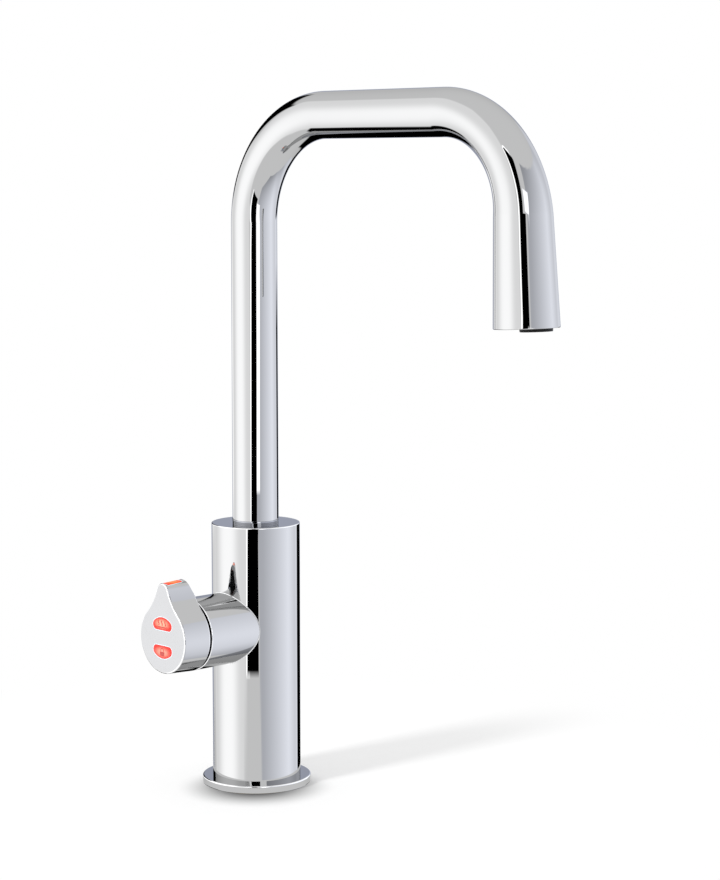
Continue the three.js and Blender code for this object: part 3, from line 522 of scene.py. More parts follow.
CHROME = chrome("chrome", (0.515, 0.517, 0.52), 0.007)
# A near-white chrome for edge bevels and the branch's fillet: painted highlights, brighter than
# the plating itself.
HIGHLIGHT_CHROME = chrome("painted_highlight_chrome", (0.95, 0.953, 0.96), 0.015)
# A darker, bluish copy of the chrome for the swivel ring: painted shade of the narrow gap under
# the stem.
SHADED_RING_CHROME = chrome("painted_shade_ring_chrome", (0.36, 0.37, 0.4), 0.02)
FACE_CHROME = satin_metal("face_chrome", (0.455, 0.458, 0.467), (0.447, 0.45, 0.459), 0.2,
                          (1, 1, 1), 0.00001)
BRASS = satin_metal("brass", (0.62, 0.44, 0.18), (0.5, 0.33, 0.12), 0.3)
STEEL = satin_metal("steel", (0.5, 0.51, 0.52), (0.4, 0.41, 0.42), 0.32)
COPPER = satin_metal("copper", (0.72, 0.33, 0.18), (0.5, 0.2, 0.1), 0.28)
RUBBER = moulded("rubber", (0.008, 0.008, 0.008), (0.02, 0.02, 0.02), 0.8, 1800.0, 0.3)
BLACK_PLASTIC = moulded("black_plastic", (0.002, 0.002, 0.002), (0.006, 0.006, 0.006), 0.45,
                        sheen=0.2)
WHITE_PLASTIC = moulded("white_plastic", (0.8, 0.79, 0.75), (0.86, 0.85, 0.82), 0.45)
CERAMIC = moulded("ceramic", (0.84, 0.82, 0.77), (0.9, 0.89, 0.85), 0.25, 3500.0)
SILICONE = moulded("silicone", (0.7, 0.74, 0.75), (0.78, 0.8, 0.8), 0.4, 1500.0)
CIRCUIT_GREEN = circuit_board()
LAMP = moulded("lamp", (0.9, 0.82, 0.6), (1.0, 0.93, 0.75), 0.25, 3000.0)

SLOTS = {
    "chrome": CHROME, "face_chrome": FACE_CHROME, "brass": BRASS, "steel": STEEL,
    "copper": COPPER, "rubber": RUBBER, "black_plastic": BLACK_PLASTIC,
    "white_plastic": WHITE_PLASTIC, "ceramic": CERAMIC, "silicone": SILICONE,
    "circuit_green": CIRCUIT_GREEN, "lamp": LAMP,
}

# ------------------------------------------------------------------ mesh helpers

CREASE = math.radians(24)
MERGE_DISTANCE = 2e-7
CUT_PAST = 5                      # mm that a cutting solid runs past what it cuts
RIM_STEPS = 5


def finished(name, mesh, body, slot, replaced=None, materials=None):
    """Puts a mesh in millimetres into the scene, smooth but for its creases."""
    edit = bmesh.new()
    edit.from_mesh(mesh)
    bmesh.ops.scale(edit, vec=(MM, MM, MM), verts=edit.verts)
    bmesh.ops.remove_doubles(edit, verts=edit.verts, dist=MERGE_DISTANCE)
    for face in edit.faces:
        face.smooth = True
    for edge in edit.edges:
        if len(edge.link_faces) == 2 and edge.calc_face_angle(0.0) > CREASE:
            edge.smooth = False
    edit.to_mesh(mesh)
    edit.free()
    piece = bpy.data.objects.new(name, mesh)
    bpy.context.scene.collection.objects.link(piece)
    for material in materials or [SLOTS[slot]]:
        mesh.materials.append(material)
    shading = piece.modifiers.new("shading", "WEIGHTED_NORMAL")
    shading.keep_sharp = True
    shading.weight = 100
    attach(piece, body)
    if replaced:
        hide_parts(replaced)
    return piece


def paint_highlight(piece, chosen):
    """Gives the edge faces of a piece, picked by a test, the brighter chrome: a painted highlight
    on those edges.
    """
    piece.data.materials.append(HIGHLIGHT_CHROME)
    for polygon in piece.data.polygons:
        if chosen(polygon):
            polygon.material_index = len(piece.data.materials) - 1


def on_bevel(slope, least=0.1):
    """Whether a face leans both ways, by its normal's share along one axis."""
    return least < slope < 0.98


def mesh_of(points, faces):
    mesh = bpy.data.meshes.new("shape")
    mesh.from_pydata([tuple(map(float, point)) for point in points], [], faces)
    return mesh


def loft(rings, closed=True):
    """Skin through rings of points. A closed one joins its last ring to its first, an open
    one gets a flat cap at each end."""
    rings = np.asarray(rings, float)
    count, sides = rings.shape[:2]
    faces = []
    for i in range(count if closed else count - 1):
        here, there = i * sides, (i + 1) % count * sides
        for j in range(sides):
            k = (j + 1) % sides
            faces.append((here + j, here + k, there + k, there + j))
    if not closed:
        faces.append(tuple(range(sides))[::-1])
        faces.append(tuple(range((count - 1) * sides, count * sides)))
    return mesh_of(rings.reshape(-1, 3), faces)


def turned(profile, sides=192, closed=True):
    """A profile of (radius, height) turned about Z."""
    angles = np.linspace(0, 2 * np.pi, sides, endpoint=False)
    rings = [
        np.stack([r * np.cos(angles), r * np.sin(angles), np.full(sides, z)], -1)
        for r, z in profile
    ]
    return loft(rings, closed)


def arc(x, y, radius, start, end, steps):
    """Points on a circle, between two angles in degrees."""
    angles = np.radians(np.linspace(start, end, steps + 1))
    return [(x + radius * math.cos(a), y + radius * math.sin(a)) for a in angles]


def rounded_bar(radius, low, high, edge, sides):
    """A solid round bar along Z, with its upper rim rounded where edge isn't 0."""
    rim = arc(radius - edge, high - edge, edge, 0, 90, RIM_STEPS) if edge else [(radius, high)]
    return turned([(radius, low), *rim], sides, closed=False)


def placed(mesh, matrix):
    mesh.transform(matrix)
    return mesh


def carved(base, tools, joined=()):
    """base with the joined solids added and the tools cut away."""
    holder = bpy.data.objects.new("base", base)
    scene = bpy.context.scene
    scene.collection.objects.link(holder)
    helpers = []
    for meshes, operation in ((joined, "UNION"), (tools, "DIFFERENCE")):
        for mesh in meshes:
            helper = bpy.data.objects.new("helper", mesh)
            scene.collection.objects.link(helper)
            helpers.append(helper)
            step = holder.modifiers.new("step", "BOOLEAN")
            step.operation = operation
            step.solver = "EXACT"
            step.object = helper
    bpy.context.view_layer.update()
    graph = bpy.context.evaluated_depsgraph_get()
    result = bpy.data.meshes.new_from_object(holder.evaluated_get(graph))
    for helper in helpers + [holder]:
        bpy.data.objects.remove(helper)
    return result


# ------------------------------------------------------------------ foot

FLANGE_EDGE = 0.7
SHANK_CLEARANCE = 0.3
SEAL_GAP = 0.3

flange_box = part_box("base_flange")
seal_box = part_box("base_seal")
shank_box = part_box("threaded_shank")
body_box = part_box("body_shell")
FLANGE_RADIUS = flange_box[1].x / MM
FLANGE_HEIGHT = flange_box[1].z / MM
SHANK_RADIUS = shank_box[1].x / MM
SHANK_FOOT = shank_box[0].z / MM
SHANK_TOP = shank_box[1].z / MM
BODY_RADIUS = body_box[1].x / MM
BODY_HEIGHT = body_box[1].z / MM
SEAL_RADIUS = seal_box[1].x / MM
SEAL_HEIGHT = seal_box[1].z / MM
SEAL_INNER_RADIUS = 21.0


def base_flange():
    """The trim ring on the worktop, with the groove of its seal underneath."""
    bore = SHANK_RADIUS + SHANK_CLEARANCE
    rim = FLANGE_RADIUS - FLANGE_EDGE
    groove = SEAL_HEIGHT + SEAL_GAP
    mesh = turned([
        (bore, 0), (SEAL_INNER_RADIUS - SEAL_GAP, 0), (SEAL_INNER_RADIUS - SEAL_GAP, groove),
        (SEAL_RADIUS + SEAL_GAP, groove), (SEAL_RADIUS + SEAL_GAP, 0),
        *arc(rim, FLANGE_EDGE, FLANGE_EDGE, -90, 0, 6),
        *arc(rim, FLANGE_HEIGHT - FLANGE_EDGE, FLANGE_EDGE, 0, 90, 8),
        (bore, FLANGE_HEIGHT),
    ], 256)
    piece = finished("foot_flange", mesh, "tap_body", "chrome", "base_flange")
    # Painted highlight: the flange's top rim gets the brighter chrome.
    paint_highlight(piece, lambda polygon: polygon.center.z > (FLANGE_HEIGHT - FLANGE_EDGE) * MM
             and on_bevel(polygon.normal.z) and polygon.center.xy.length > rim * MM)


THREAD_PITCH = 1.5
THREAD_DEPTH = 0.85
THREAD_SIDES = 64
THREAD_SHAPE = [(0.0, 0.0), (0.38, THREAD_DEPTH), (0.5, THREAD_DEPTH), (0.88, 0.0)]
THREAD_SINK = 0.005               # the core lies this far under the thread's root
SHANK_BORE = 12.4
SHANK_CHAMFER = 0.4
THREAD_TOP = -4.0                 # plain stretch under the worktop's face


def threaded_shank():
    """The fixing tube with its real helical thread."""
    turns = int((THREAD_TOP - SHANK_FOOT - 2 * THREAD_PITCH) / THREAD_PITCH)
    steps = turns * THREAD_SIDES
    points, faces = [], []
    for i in range(steps + 1):
        angle = 2 * math.pi * i / THREAD_SIDES
        foot = SHANK_FOOT + THREAD_PITCH * (0.5 + i / THREAD_SIDES)
        fade = min(1.0, i / THREAD_SIDES, (steps - i) / THREAD_SIDES)
        for along, depth in THREAD_SHAPE:
            radius = SHANK_RADIUS - THREAD_DEPTH + depth * fade
            points.append((radius * math.cos(angle), radius * math.sin(angle),
                           foot + along * THREAD_PITCH))
    width = len(THREAD_SHAPE)
    for i in range(steps):
        for j in range(width - 1):
            k = i * width + j
            faces.append((k, k + width, k + width + 1, k + 1))
    root, chamfer = SHANK_RADIUS - THREAD_DEPTH - THREAD_SINK, SHANK_CHAMFER
    core = turned([
        (SHANK_BORE, SHANK_FOOT), (root - chamfer, SHANK_FOOT), (root, SHANK_FOOT + chamfer),
        (root, THREAD_TOP - chamfer), (SHANK_RADIUS, THREAD_TOP),
        (SHANK_RADIUS, SHANK_TOP - chamfer), (SHANK_RADIUS - chamfer, SHANK_TOP),
        (SHANK_BORE, SHANK_TOP),
    ], 96)
    edit = bmesh.new()
    edit.from_mesh(core)
    edit.from_mesh(mesh_of(points, faces))
    mesh = bpy.data.meshes.new("shape")
    edit.to_mesh(mesh)
    edit.free()
    finished("fixing_thread", mesh, "tap_body", "brass", "threaded_shank")


base_flange()
threaded_shank()

# ------------------------------------------------------------------ body

BODY_EDGE = 0.45
BODY_WALL = 3.5
BODY_TOP_WALL = 14.0
BODY_TOP_PLATE = 2.0
SOCKET_RADIUS = 13.2              # the swivel's socket under the top plate
SWIVEL_BORE = 10.7
BRANCH_RADIUS = 18.1
BRANCH_BORE = 14.4
BRANCH_EDGE = 0.4
LEVER_AXIS_DROP = 52.0            # body's top down to the lever's axis
LEVER_AXIS = BODY_HEIGHT - LEVER_AXIS_DROP
LEVER_BACK = -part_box("lever_shell")[1].x / MM
SHADOW_GAP = 1.1
BRANCH_REACH = LEVER_BACK - SHADOW_GAP
FILLET = 0.3                      # where the branch meets the body
FILLET_STEPS = 128
FILLET_SIDES = 8

lever_frame = Matrix((
    (0, 0, -1, 0), (-1, 0, 0, 0), (0, 1, 0, LEVER_AXIS), (0, 0, 0, 1),
))


def body_shell():
    """The hollow body and its side branch, in one piece."""
    cuts = [
        rounded_bar(SHANK_RADIUS + SHANK_CLEARANCE, -CUT_PAST, SHANK_TOP + CUT_PAST, 0, 96),
        rounded_bar(BODY_RADIUS - BODY_WALL, SHANK_TOP, BODY_HEIGHT - BODY_TOP_WALL, 0, 128),
        rounded_bar(SOCKET_RADIUS, BODY_HEIGHT - BODY_TOP_WALL - CUT_PAST,
                    BODY_HEIGHT - BODY_TOP_PLATE, 0, 96),
        rounded_bar(SWIVEL_BORE, BODY_HEIGHT - CUT_PAST, BODY_HEIGHT + CUT_PAST, 0, 96),
        placed(rounded_bar(BRANCH_BORE, CUT_PAST, BRANCH_REACH + CUT_PAST, 0, 96), lever_frame),
    ]
    branch = placed(rounded_bar(BRANCH_RADIUS, 0, BRANCH_REACH, BRANCH_EDGE, 256), lever_frame)
    body = rounded_bar(BODY_RADIUS, FLANGE_HEIGHT, BODY_HEIGHT, BODY_EDGE, 320)
    piece = finished("body_sleeve", carved(body, cuts, [branch]), "tap_body", "chrome",
                     "body_shell")
    # Painted highlights: the top's bevel and the branch's end edge get the brighter chrome.
    paint_highlight(piece, lambda polygon: polygon.center.z > (BODY_HEIGHT - BODY_EDGE) * MM
             and on_bevel(polygon.normal.z)
             and polygon.center.xy.length > (BODY_RADIUS - BODY_WALL) * MM)
    paint_highlight(piece, lambda polygon: polygon.center.x < (BRANCH_EDGE - BRANCH_REACH) * MM
             and on_bevel(-polygon.normal.x))


def branch_fillet():
    """The small fillet where the branch meets the body, all in the brighter chrome: a painted
    highlight along the joint.
    """
    rings = []
    for angle in np.linspace(0, 2 * np.pi, FILLET_STEPS, endpoint=False):
        off_branch = np.array((0, math.cos(angle), math.sin(angle)))
        y, z = BRANCH_RADIUS * off_branch[1:]
        x = -math.sqrt(BODY_RADIUS ** 2 - y * y)
        off_body = np.array((x, y, 0)) / BODY_RADIUS
        centre = np.array((x, y, LEVER_AXIS + z))
        rings.append([centre + FILLET * (math.cos(t) * off_branch + math.sin(t) * off_body)
                      for t in np.linspace(0, 2 * np.pi, FILLET_SIDES, endpoint=False)])
    finished("branch_fillet", loft(rings), "tap_body", "chrome", materials=[HIGHLIGHT_CHROME])


body_shell()
branch_fillet()

# ------------------------------------------------------------------ spout

STEM_RADIUS = 11.75
RUN_RADIUS = 11.5
TUBE_WALL = 1.6
SPOUT_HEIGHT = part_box("spout_tube")[1].z / MM
STEM_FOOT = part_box("spout_tube")[0].z / MM
BACK_BEND = 52.8
LEVEL_RUN = 79.6
FRONT_BEND = 49.1
OUTLET_TILT = math.radians(3.0)
LEG_LENGTH = 50.5
LEG_TOP_RADIUS = 13.5
FLARE_POWER = 2.6
OUTLET_RADIUS = 15.25
OUTLET_EDGE = 0.4
SPOUT_SIDES = 160
BEND_STEPS = 72


def spout_stations(leg_end):
    """Centre line, square direction and radius from the stem's foot to the outlet."""
    run = SPOUT_HEIGHT - RUN_RADIUS
    bend = run - BACK_BEND
    stem = bend - STEM_FOOT
    narrowing = (STEM_RADIUS - RUN_RADIUS) / (stem + BACK_BEND * math.pi / 2)
    stations = [(0.0, STEM_FOOT, 0.0, STEM_RADIUS)]
    for turn in np.linspace(0, math.pi / 2, BEND_STEPS + 1):
        stations.append((
            -BACK_BEND * (1 - math.cos(turn)), bend + BACK_BEND * math.sin(turn), turn,
            STEM_RADIUS - narrowing * (stem + BACK_BEND * turn),
        ))
    start = -BACK_BEND - LEVEL_RUN
    sweep = math.pi / 2 - OUTLET_TILT
    for share in np.linspace(0, 1, BEND_STEPS + 1):
        turn = sweep * share
        stations.append((
            start - FRONT_BEND * math.sin(turn), run - FRONT_BEND * (1 - math.cos(turn)),
            math.pi / 2 + turn, RUN_RADIUS + (LEG_TOP_RADIUS - RUN_RADIUS) * share ** FLARE_POWER,
        ))
    y, z = stations[-1][:2]
    stations.append((
        y - leg_end * math.sin(OUTLET_TILT), z - leg_end * math.cos(OUTLET_TILT),
        math.pi - OUTLET_TILT,
        LEG_TOP_RADIUS + (OUTLET_RADIUS - LEG_TOP_RADIUS) * leg_end / LEG_LENGTH,
    ))
    return stations


def station_ring(station, inset):
    y, z, turn, radius = station
    angles = np.linspace(0, 2 * np.pi, SPOUT_SIDES, endpoint=False)
    across, along = (radius - inset) * np.sin(angles), (radius - inset) * np.cos(angles)
    return np.stack([across, y + along * math.cos(turn), z + along * math.sin(turn)], -1)


def spout_tube():
    """The whole spout as one skin: outside, outlet rim and bore."""
    outer = [station_ring(station, 0) for station in spout_stations(LEG_LENGTH - OUTLET_EDGE)]
    rim = [
        station_ring(spout_stations(LEG_LENGTH - down)[-1], inset)
        for inset, down in arc(OUTLET_EDGE, OUTLET_EDGE, OUTLET_EDGE, 180, 270, 5)[1:]
    ]
    inner = [station_ring(station, TUBE_WALL) for station in spout_stations(LEG_LENGTH)]
    mesh = loft(outer + rim + inner[::-1])
    finished("spout_bend", mesh, "spout", "chrome", "spout_tube")


RING_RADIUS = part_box("swivel_collar")[1].x / MM
RING_LIFT = 0.02                  # clear of the body, which it turns on
RING_DROP = 0.05                  # clear of the stem above it
RING_LINE = 0.06
RING_EDGE = 0.1


def swivel_collar():
    """The slim ring that the spout turns on, with a fine line round it, in a darker chrome that
    paints the shade under the stem.
    """
    low, high = BODY_HEIGHT + RING_LIFT, STEM_FOOT - RING_DROP
    middle = (low + high) / 2
    mesh = turned([
        (SWIVEL_BORE, low), (RING_RADIUS, low), (RING_RADIUS, middle - RING_LINE),
        (RING_RADIUS - RING_LINE, middle), (RING_RADIUS, middle + RING_LINE),
        *arc(RING_RADIUS - RING_EDGE, high - RING_EDGE, RING_EDGE, 0, 90, 3),
        (SWIVEL_BORE, high),
    ])
    finished("swivel_ring", mesh, "spout", "chrome", "swivel_collar", [SHADED_RING_CHROME])


spout_tube()
swivel_collar()

# ------------------------------------------------------------------ lever

LEVER_DEPTH = 15.9
LEVER_RADIUS = 17.4               # at the face
LEVER_DRAFT = 0.7                 # how much wider the lever is at its back, all round
LEVER_TIP_HEIGHT = 27.8
LEVER_TIP_RADIUS = 4.3
LEVER_RELIEF = 2.8                # how far forward the tip's back slopes up to its top
LEVER_RELIEF_START = 19.5
LEVER_WAIST = 34.0
LEVER_WALL = 1.8
LEVER_FRONT_WALL = 2.0
LEVER_EDGE = 0.8
LEVER_BACK_EDGE = 0.7
BUTTON_CIRCLE = 10.3
BUTTON_BAND = 3.9
BUTTON_CORNER = 2.4
BUTTON_LIFT = 0.5
BUTTON_GAP = 0.2
BUTTON_PROUD = 0.3
BUTTON_RIM = 0.9
BUTTON_RIM_HEIGHT = 0.6
FIT_GAP = 0.3
PRINT_HEIGHT = 0.02
BUTTON_DOME = [                   # inward from the button's outline, and down from its face
    (0.0, 0.35), (0.05, 0.22), (0.15, 0.13), (0.35, 0.08), (0.7, 0.05), (1.2, 0.035),
    (1.8, PRINT_HEIGHT),
]
WINDOW_LENGTH = 10.0
WINDOW_WIDTH = 5.0
WINDOW_CORNER = 1.0
WINDOW_DEPTH = 3.0
WINDOW_MIDDLE = LEVER_DEPTH / 2 + 1.7
WINDOW_FRAME = 0.35               # clear frame round the window
LENS_INSET = 0.1
FRAME_INNER = 0.08                # clear frame round each button, as margins of its outline
FRAME_OUTER = 0.4
FRAME_DEPTH = 0.4
FRAME_GAP = 0.03                  # between the frame and the lever at its side,
FRAME_FLOOR_GAP = 0.02            # and under it
FRAME_PROUD = 0.04
FRAME_CHAMFER = 0.1
RELIEF_HALF_WIDTH = 12
FACE_BACK = LEVER_DEPTH - LEVER_FRONT_WALL
TIP_CENTRE = LEVER_TIP_HEIGHT - LEVER_TIP_RADIUS


def drop_outline(inset):
    """A round about the axis and a small one at the tip, joined by hollow flanks."""
    body, tip, waist = LEVER_RADIUS - inset, LEVER_TIP_RADIUS - inset, LEVER_WAIST + inset
    to_body, to_tip = body + waist, tip + waist
    waist_y = (to_body ** 2 - to_tip ** 2 + TIP_CENTRE ** 2) / (2 * TIP_CENTRE)
    waist_x = math.sqrt(to_body ** 2 - waist_y ** 2)
    body_end = math.degrees(math.atan2(waist_y, waist_x))
    tip_start = math.degrees(math.atan2(waist_y - TIP_CENTRE, waist_x))
    half = [
        *arc(0, 0, body, -90, body_end, 90)[:-1],
        *arc(waist_x, waist_y, waist, 180 + body_end, 180 + tip_start, 24),
        *arc(0, TIP_CENTRE, tip, tip_start, 90, 24)[1:],
    ]
    return half + [(-x, y) for x, y in half[-2:0:-1]]


def block(levels):
    """A solid through outlines at heights along Z: [(outline, height), ...]."""
    rings = [[(x, y, z) for x, y in outline] for outline, z in levels]
    return loft(rings, closed=False)


def moon_outline(margin, side):
    """Half-moon of a button, grown by a margin; side -1 is the lower one."""
    corner = BUTTON_CORNER + margin
    centre_y = BUTTON_BAND + BUTTON_CORNER
    centre_x = math.sqrt((BUTTON_CIRCLE - BUTTON_CORNER) ** 2 - centre_y ** 2)
    turn = math.degrees(math.atan2(centre_y, centre_x))
    outline = [
        *arc(centre_x, centre_y, corner, -90, turn, 14),
        *arc(0, 0, BUTTON_CIRCLE + margin, turn, 180 - turn, 36)[1:],
        *arc(-centre_x, centre_y, corner, 180 - turn, 270, 14)[1:],
    ]
    if side < 0:
        outline = [(x, -y) for x, y in outline[::-1]]
    return [(x, y + BUTTON_LIFT) for x, y in outline]


def window_outline(inset):
    """The indicator window's rounded outline, as (across, along the lever's depth)."""
    half_width, half_length = WINDOW_WIDTH / 2 - inset, WINDOW_LENGTH / 2 - inset
    corner = WINDOW_CORNER - inset
    x, y = half_width - corner, half_length - corner
    return [
        *arc(x, y, corner, 0, 90, 8), *arc(-x, y, corner, 90, 180, 8),
        *arc(-x, -y, corner, 180, 270, 8), *arc(x, -y, corner, 270, 360, 8),
    ]


def tip_relief():
    """The wedge that slopes the tip's back."""
    top = LEVER_TIP_HEIGHT + CUT_PAST
    slope = LEVER_RELIEF / (LEVER_TIP_HEIGHT - LEVER_RELIEF_START)
    outline = [(LEVER_RELIEF_START, 0), (LEVER_RELIEF_START, -CUT_PAST), (top, -CUT_PAST),
               (top, slope * (top - LEVER_RELIEF_START))]
    sides = (-RELIEF_HALF_WIDTH, RELIEF_HALF_WIDTH)
    return loft([[(x, y, z) for y, z in outline] for x in sides], closed=False)


def lever_shell():
    """The hollow drop, with its window slot and the openings of its buttons."""
    profile = [
        *arc(LEVER_BACK_EDGE - LEVER_DRAFT, LEVER_BACK_EDGE, LEVER_BACK_EDGE, 270, 180, 5),
        *arc(LEVER_EDGE, LEVER_DEPTH - LEVER_EDGE, LEVER_EDGE, 180, 90, 6),
    ]
    drop = block([(drop_outline(inset), height) for inset, height in profile])
    slot = loft([
        [(x, y, WINDOW_MIDDLE + z) for x, z in window_outline(-WINDOW_FRAME)[::-1]]
        for y in (LEVER_TIP_HEIGHT - WINDOW_DEPTH, LEVER_TIP_HEIGHT + CUT_PAST)
    ], closed=False)
    hollow = block([(drop_outline(LEVER_WALL), height) for height in (-CUT_PAST, FACE_BACK)])
    cuts = [hollow, slot, tip_relief()]
    for side in (1, -1):
        opening = moon_outline(BUTTON_GAP, side)
        recess = moon_outline(FRAME_OUTER + FRAME_GAP, side)
        ledge = LEVER_DEPTH - FRAME_DEPTH
        cuts.append(block([
            (opening, CUT_PAST), (opening, ledge), (recess, ledge), (recess, LEVER_DEPTH + 1),
        ]))
    mesh = placed(carved(drop, cuts), lever_place)
    piece = finished("lever_drop", mesh, "lever", "face_chrome", "lever_shell",
                     [CHROME, FACE_CHROME])
    for polygon in mesh.polygons:
        if polygon.normal.x < -0.999:
            polygon.material_index = 1
    face = (lever_place @ Vector((0, 0, LEVER_DEPTH))).x * MM
    # Painted highlights: the face's rim and the back edge get the brighter chrome.
    paint_highlight(piece, lambda polygon: polygon.center.x < face + LEVER_EDGE * MM
             and on_bevel(-polygon.normal.x, 0.5))
    paint_highlight(piece, lambda polygon: polygon.normal.x > 0.1
             and polygon.center.x > face + (LEVER_DEPTH - LEVER_BACK_EDGE) * MM)


lever_place = lever_frame @ Matrix.Translation((0, 0, LEVER_BACK))
lever_shell()
BUTTON_MIDDLE = (BUTTON_BAND + BUTTON_CIRCLE) / 2
BUTTON_FACE = LEVER_DEPTH + BUTTON_PROUD


def lever_point(x, y, z):
    """A point of the lever's own frame, in metres."""
    return lever_place @ Vector((x, y, z)) * MM


BUTTON_GLOW = {
    side: lit_plastic(f"button_{name}", (0.95, 0.022, 0.012), bright,
                      lever_point(0, BUTTON_LIFT + side * BUTTON_MIDDLE, BUTTON_FACE),
                      (9, 7.4, 3.4), 0.35)
    for name, side, bright in (("upper", 1, (1.0, 0.31, 0.2)), ("lower", -1, (1.0, 0.26, 0.19)))
}
# The clear frames glow a pale cyan of their own, with no lamp behind them: a painted bright rim
# round the buttons and the window.
GLOW_FRAME_PLASTIC = lit_plastic("painted_glow_frame", (0.55, 0.82, 0.86), (0.62, 0.86, 0.9),
                          lever_point(0, 0, LEVER_DEPTH), (20, 20, 30), 0.08)
PRINT = moulded("print", (0.42, 0.05, 0.04), (0.5, 0.08, 0.06), 0.5)


def button(name, side):
    """A softly domed half-moon with its hidden rim."""
    rim_front = FACE_BACK - FIT_GAP
    levels = [
        (BUTTON_RIM, rim_front - BUTTON_RIM_HEIGHT), (BUTTON_RIM, rim_front), (0.0, rim_front),
        *((-inward, BUTTON_FACE - down) for inward, down in BUTTON_DOME),
    ]
    mesh = block([(moon_outline(margin, side), height) for margin, height in levels])
    finished(f"{name}_push_moon", placed(mesh, lever_place), f"{name}_push_button",
             "button_red", f"{name}_button", [BUTTON_GLOW[side]])
    foot, top = LEVER_DEPTH - FRAME_DEPTH + FRAME_FLOOR_GAP, LEVER_DEPTH + FRAME_PROUD
    frame_levels = [
        (FRAME_INNER, foot), (FRAME_OUTER, foot), (FRAME_OUTER, LEVER_DEPTH),
        (FRAME_OUTER - FRAME_CHAMFER, top), (FRAME_INNER + FRAME_CHAMFER, top),
        (FRAME_INNER, LEVER_DEPTH),
    ]
    rings = [[(x, y, z) for x, y in moon_outline(margin, side)] for margin, z in frame_levels]
    finished(f"{name}_painted_glow_frame", placed(loft(rings), lever_place), "lever", "button_red",
             materials=[GLOW_FRAME_PLASTIC])


def stroke(points, width):
    """Outline of a line of this width through points, with square ends."""
    line = np.array(points, float)
    along = np.gradient(line, axis=0)
    along /= np.linalg.norm(along, axis=1)[:, None]
    across = np.stack([-along[:, 1], along[:, 0]], -1) * width / 2
    return [tuple(p) for p in (line - across)] + [tuple(p) for p in (line + across)[::-1]]


def mark(name, outlines, body):
    """A printed symbol: flat outlines just proud of a button's face."""
    edit = bmesh.new()
    for outline in outlines:
        flat = block([(outline, BUTTON_FACE - 2.5 * PRINT_HEIGHT), (outline, BUTTON_FACE)])
        edit.from_mesh(flat)
    mesh = bpy.data.meshes.new("shape")
    edit.to_mesh(mesh)
    edit.free()
    finished(name, placed(mesh, lever_place), body, "button_red", materials=[PRINT])


WAVE_SPACING = 2.5
WAVE_SWING = 0.35
WAVE_STEPS = 12
WAVE_HEIGHT = 2.4
WAVE_STROKE = 0.75
STEAM_LINE = 3.6                  # half the length of the line under the waves
STEAM_LINE_STROKE = 0.7
LOCK_CASE = (1.7, 1.1)            # half its width and height
SHACKLE_RADIUS = 1.05
SHACKLE_HEIGHT = 1.8
SHACKLE_STROKE = 0.5


def button_marks():
    """Plain symbols: rising steam on the upper button, a closed lock on the lower one."""
    foot = BUTTON_LIFT + BUTTON_MIDDLE - 1.7
    steps = range(WAVE_STEPS + 1)
    waves = [
        stroke([(middle + WAVE_SWING * math.sin(2 * math.pi * t / WAVE_STEPS),
                 foot + 0.9 + WAVE_HEIGHT * t / WAVE_STEPS) for t in steps], WAVE_STROKE)
        for middle in (-WAVE_SPACING, 0.0, WAVE_SPACING)
    ]
    line = [(-STEAM_LINE, foot), (0, foot), (STEAM_LINE, foot)]
    waves.append(stroke(line, STEAM_LINE_STROKE))
    mark("steam_mark", waves, "upper_push_button")
    y = BUTTON_LIFT - BUTTON_MIDDLE - 0.9
    half, tall = LOCK_CASE
    case = [(-half, y - tall), (half, y - tall), (half, y + tall), (-half, y + tall)]
    arch, root = y + SHACKLE_HEIGHT, y + tall + 0.05
    shackle = stroke([
        (SHACKLE_RADIUS, root), (SHACKLE_RADIUS, arch),
        *arc(0, arch, SHACKLE_RADIUS, 15, 165, 10), (-SHACKLE_RADIUS, arch),
        (-SHACKLE_RADIUS, root),
    ], SHACKLE_STROKE)
    mark("lock_mark", [case, shackle], "lower_push_button")


button("upper", 1)
button("lower", -1)
button_marks()

WINDOW_GLOW = lit_plastic("window_orange", (0.95, 0.05, 0.01), (1.0, 0.24, 0.06),
                          lever_point(0, LEVER_TIP_HEIGHT, WINDOW_MIDDLE - 0.5), (5.5, 4, 4), 0.25,
                          shine=0.02)


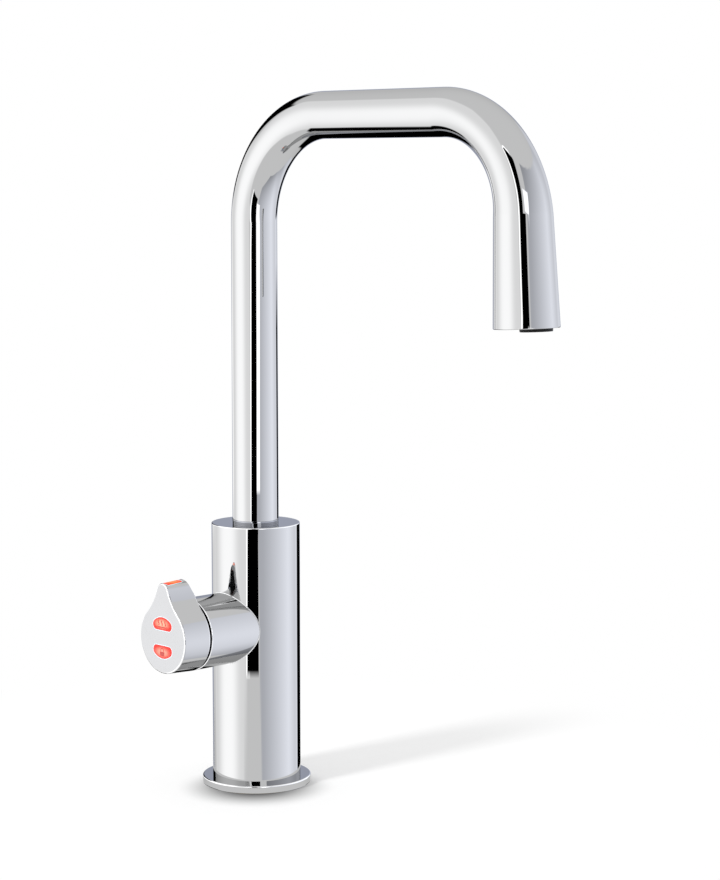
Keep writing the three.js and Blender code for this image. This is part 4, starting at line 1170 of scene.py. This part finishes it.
def tip_level(inset, sink):
    """The window's outline laid on the tip's round, or sunk under it."""
    points = []
    for x, z in window_outline(inset)[::-1]:
        z += WINDOW_MIDDLE
        share = (LEVER_DEPTH - LEVER_EDGE - z) / (LEVER_DEPTH - LEVER_EDGE - LEVER_BACK_EDGE)
        radius = LEVER_TIP_RADIUS + LEVER_DRAFT * max(share, 0.0) - sink
        points.append((x, TIP_CENTRE + math.sqrt(radius ** 2 - x * x), z))
    return points


# Each level is an inset of the window's outline and how far it sinks under the tip's round.
LENS_LEVELS = [(LENS_INSET, 0.1), (0.15, 0.04), (0.25, 0.0), (0.6, 0.0), (0.9, 0.0)]
WINDOW_FRAME_LEVELS = [
    (0.06, 0.6), (0.06 - WINDOW_FRAME, 0.6), (0.06 - WINDOW_FRAME, 0.02),
    (0.12 - WINDOW_FRAME, 0.0), (0.0, 0.0), (0.06, 0.05),
]


def indicator_window():
    """The lens in the lever's tip, which follows the tip's round, and its clear frame."""
    foot = [(x, LEVER_TIP_HEIGHT - WINDOW_DEPTH + FIT_GAP, WINDOW_MIDDLE + z)
            for x, z in window_outline(LENS_INSET)[::-1]]
    mesh = loft([foot, *(tip_level(*level) for level in LENS_LEVELS)], closed=False)
    finished("indicator_lens", placed(mesh, lever_place), "lever", "window_orange",
             "indicator_window", [WINDOW_GLOW])
    rim = loft([tip_level(*level) for level in WINDOW_FRAME_LEVELS])
    finished("window_painted_glow_frame", placed(rim, lever_place), "lever", "window_orange",
             materials=[GLOW_FRAME_PLASTIC])


indicator_window()

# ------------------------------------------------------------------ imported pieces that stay


PACKED_CREASE = math.radians(31)
WELD_DISTANCE = 1e-6


def dress_nodes():
    """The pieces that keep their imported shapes: smooth rounds and a real finish."""
    for row in frame["record"]["subparts"]:
        node = nodes[row["node"]]
        if node.hide_render:
            continue
        for polygon in node.data.polygons:
            polygon.use_smooth = True
        weld = node.modifiers.new("weld", "WELD")
        weld.merge_threshold = WELD_DISTANCE
        split = node.modifiers.new("crease", "EDGE_SPLIT")
        split.split_angle = PACKED_CREASE
        node.data.materials.clear()
        node.data.materials.append(SLOTS[row["material_slot"]])


dress_nodes()

bpy.context.scene.view_settings.view_transform = "Standard"
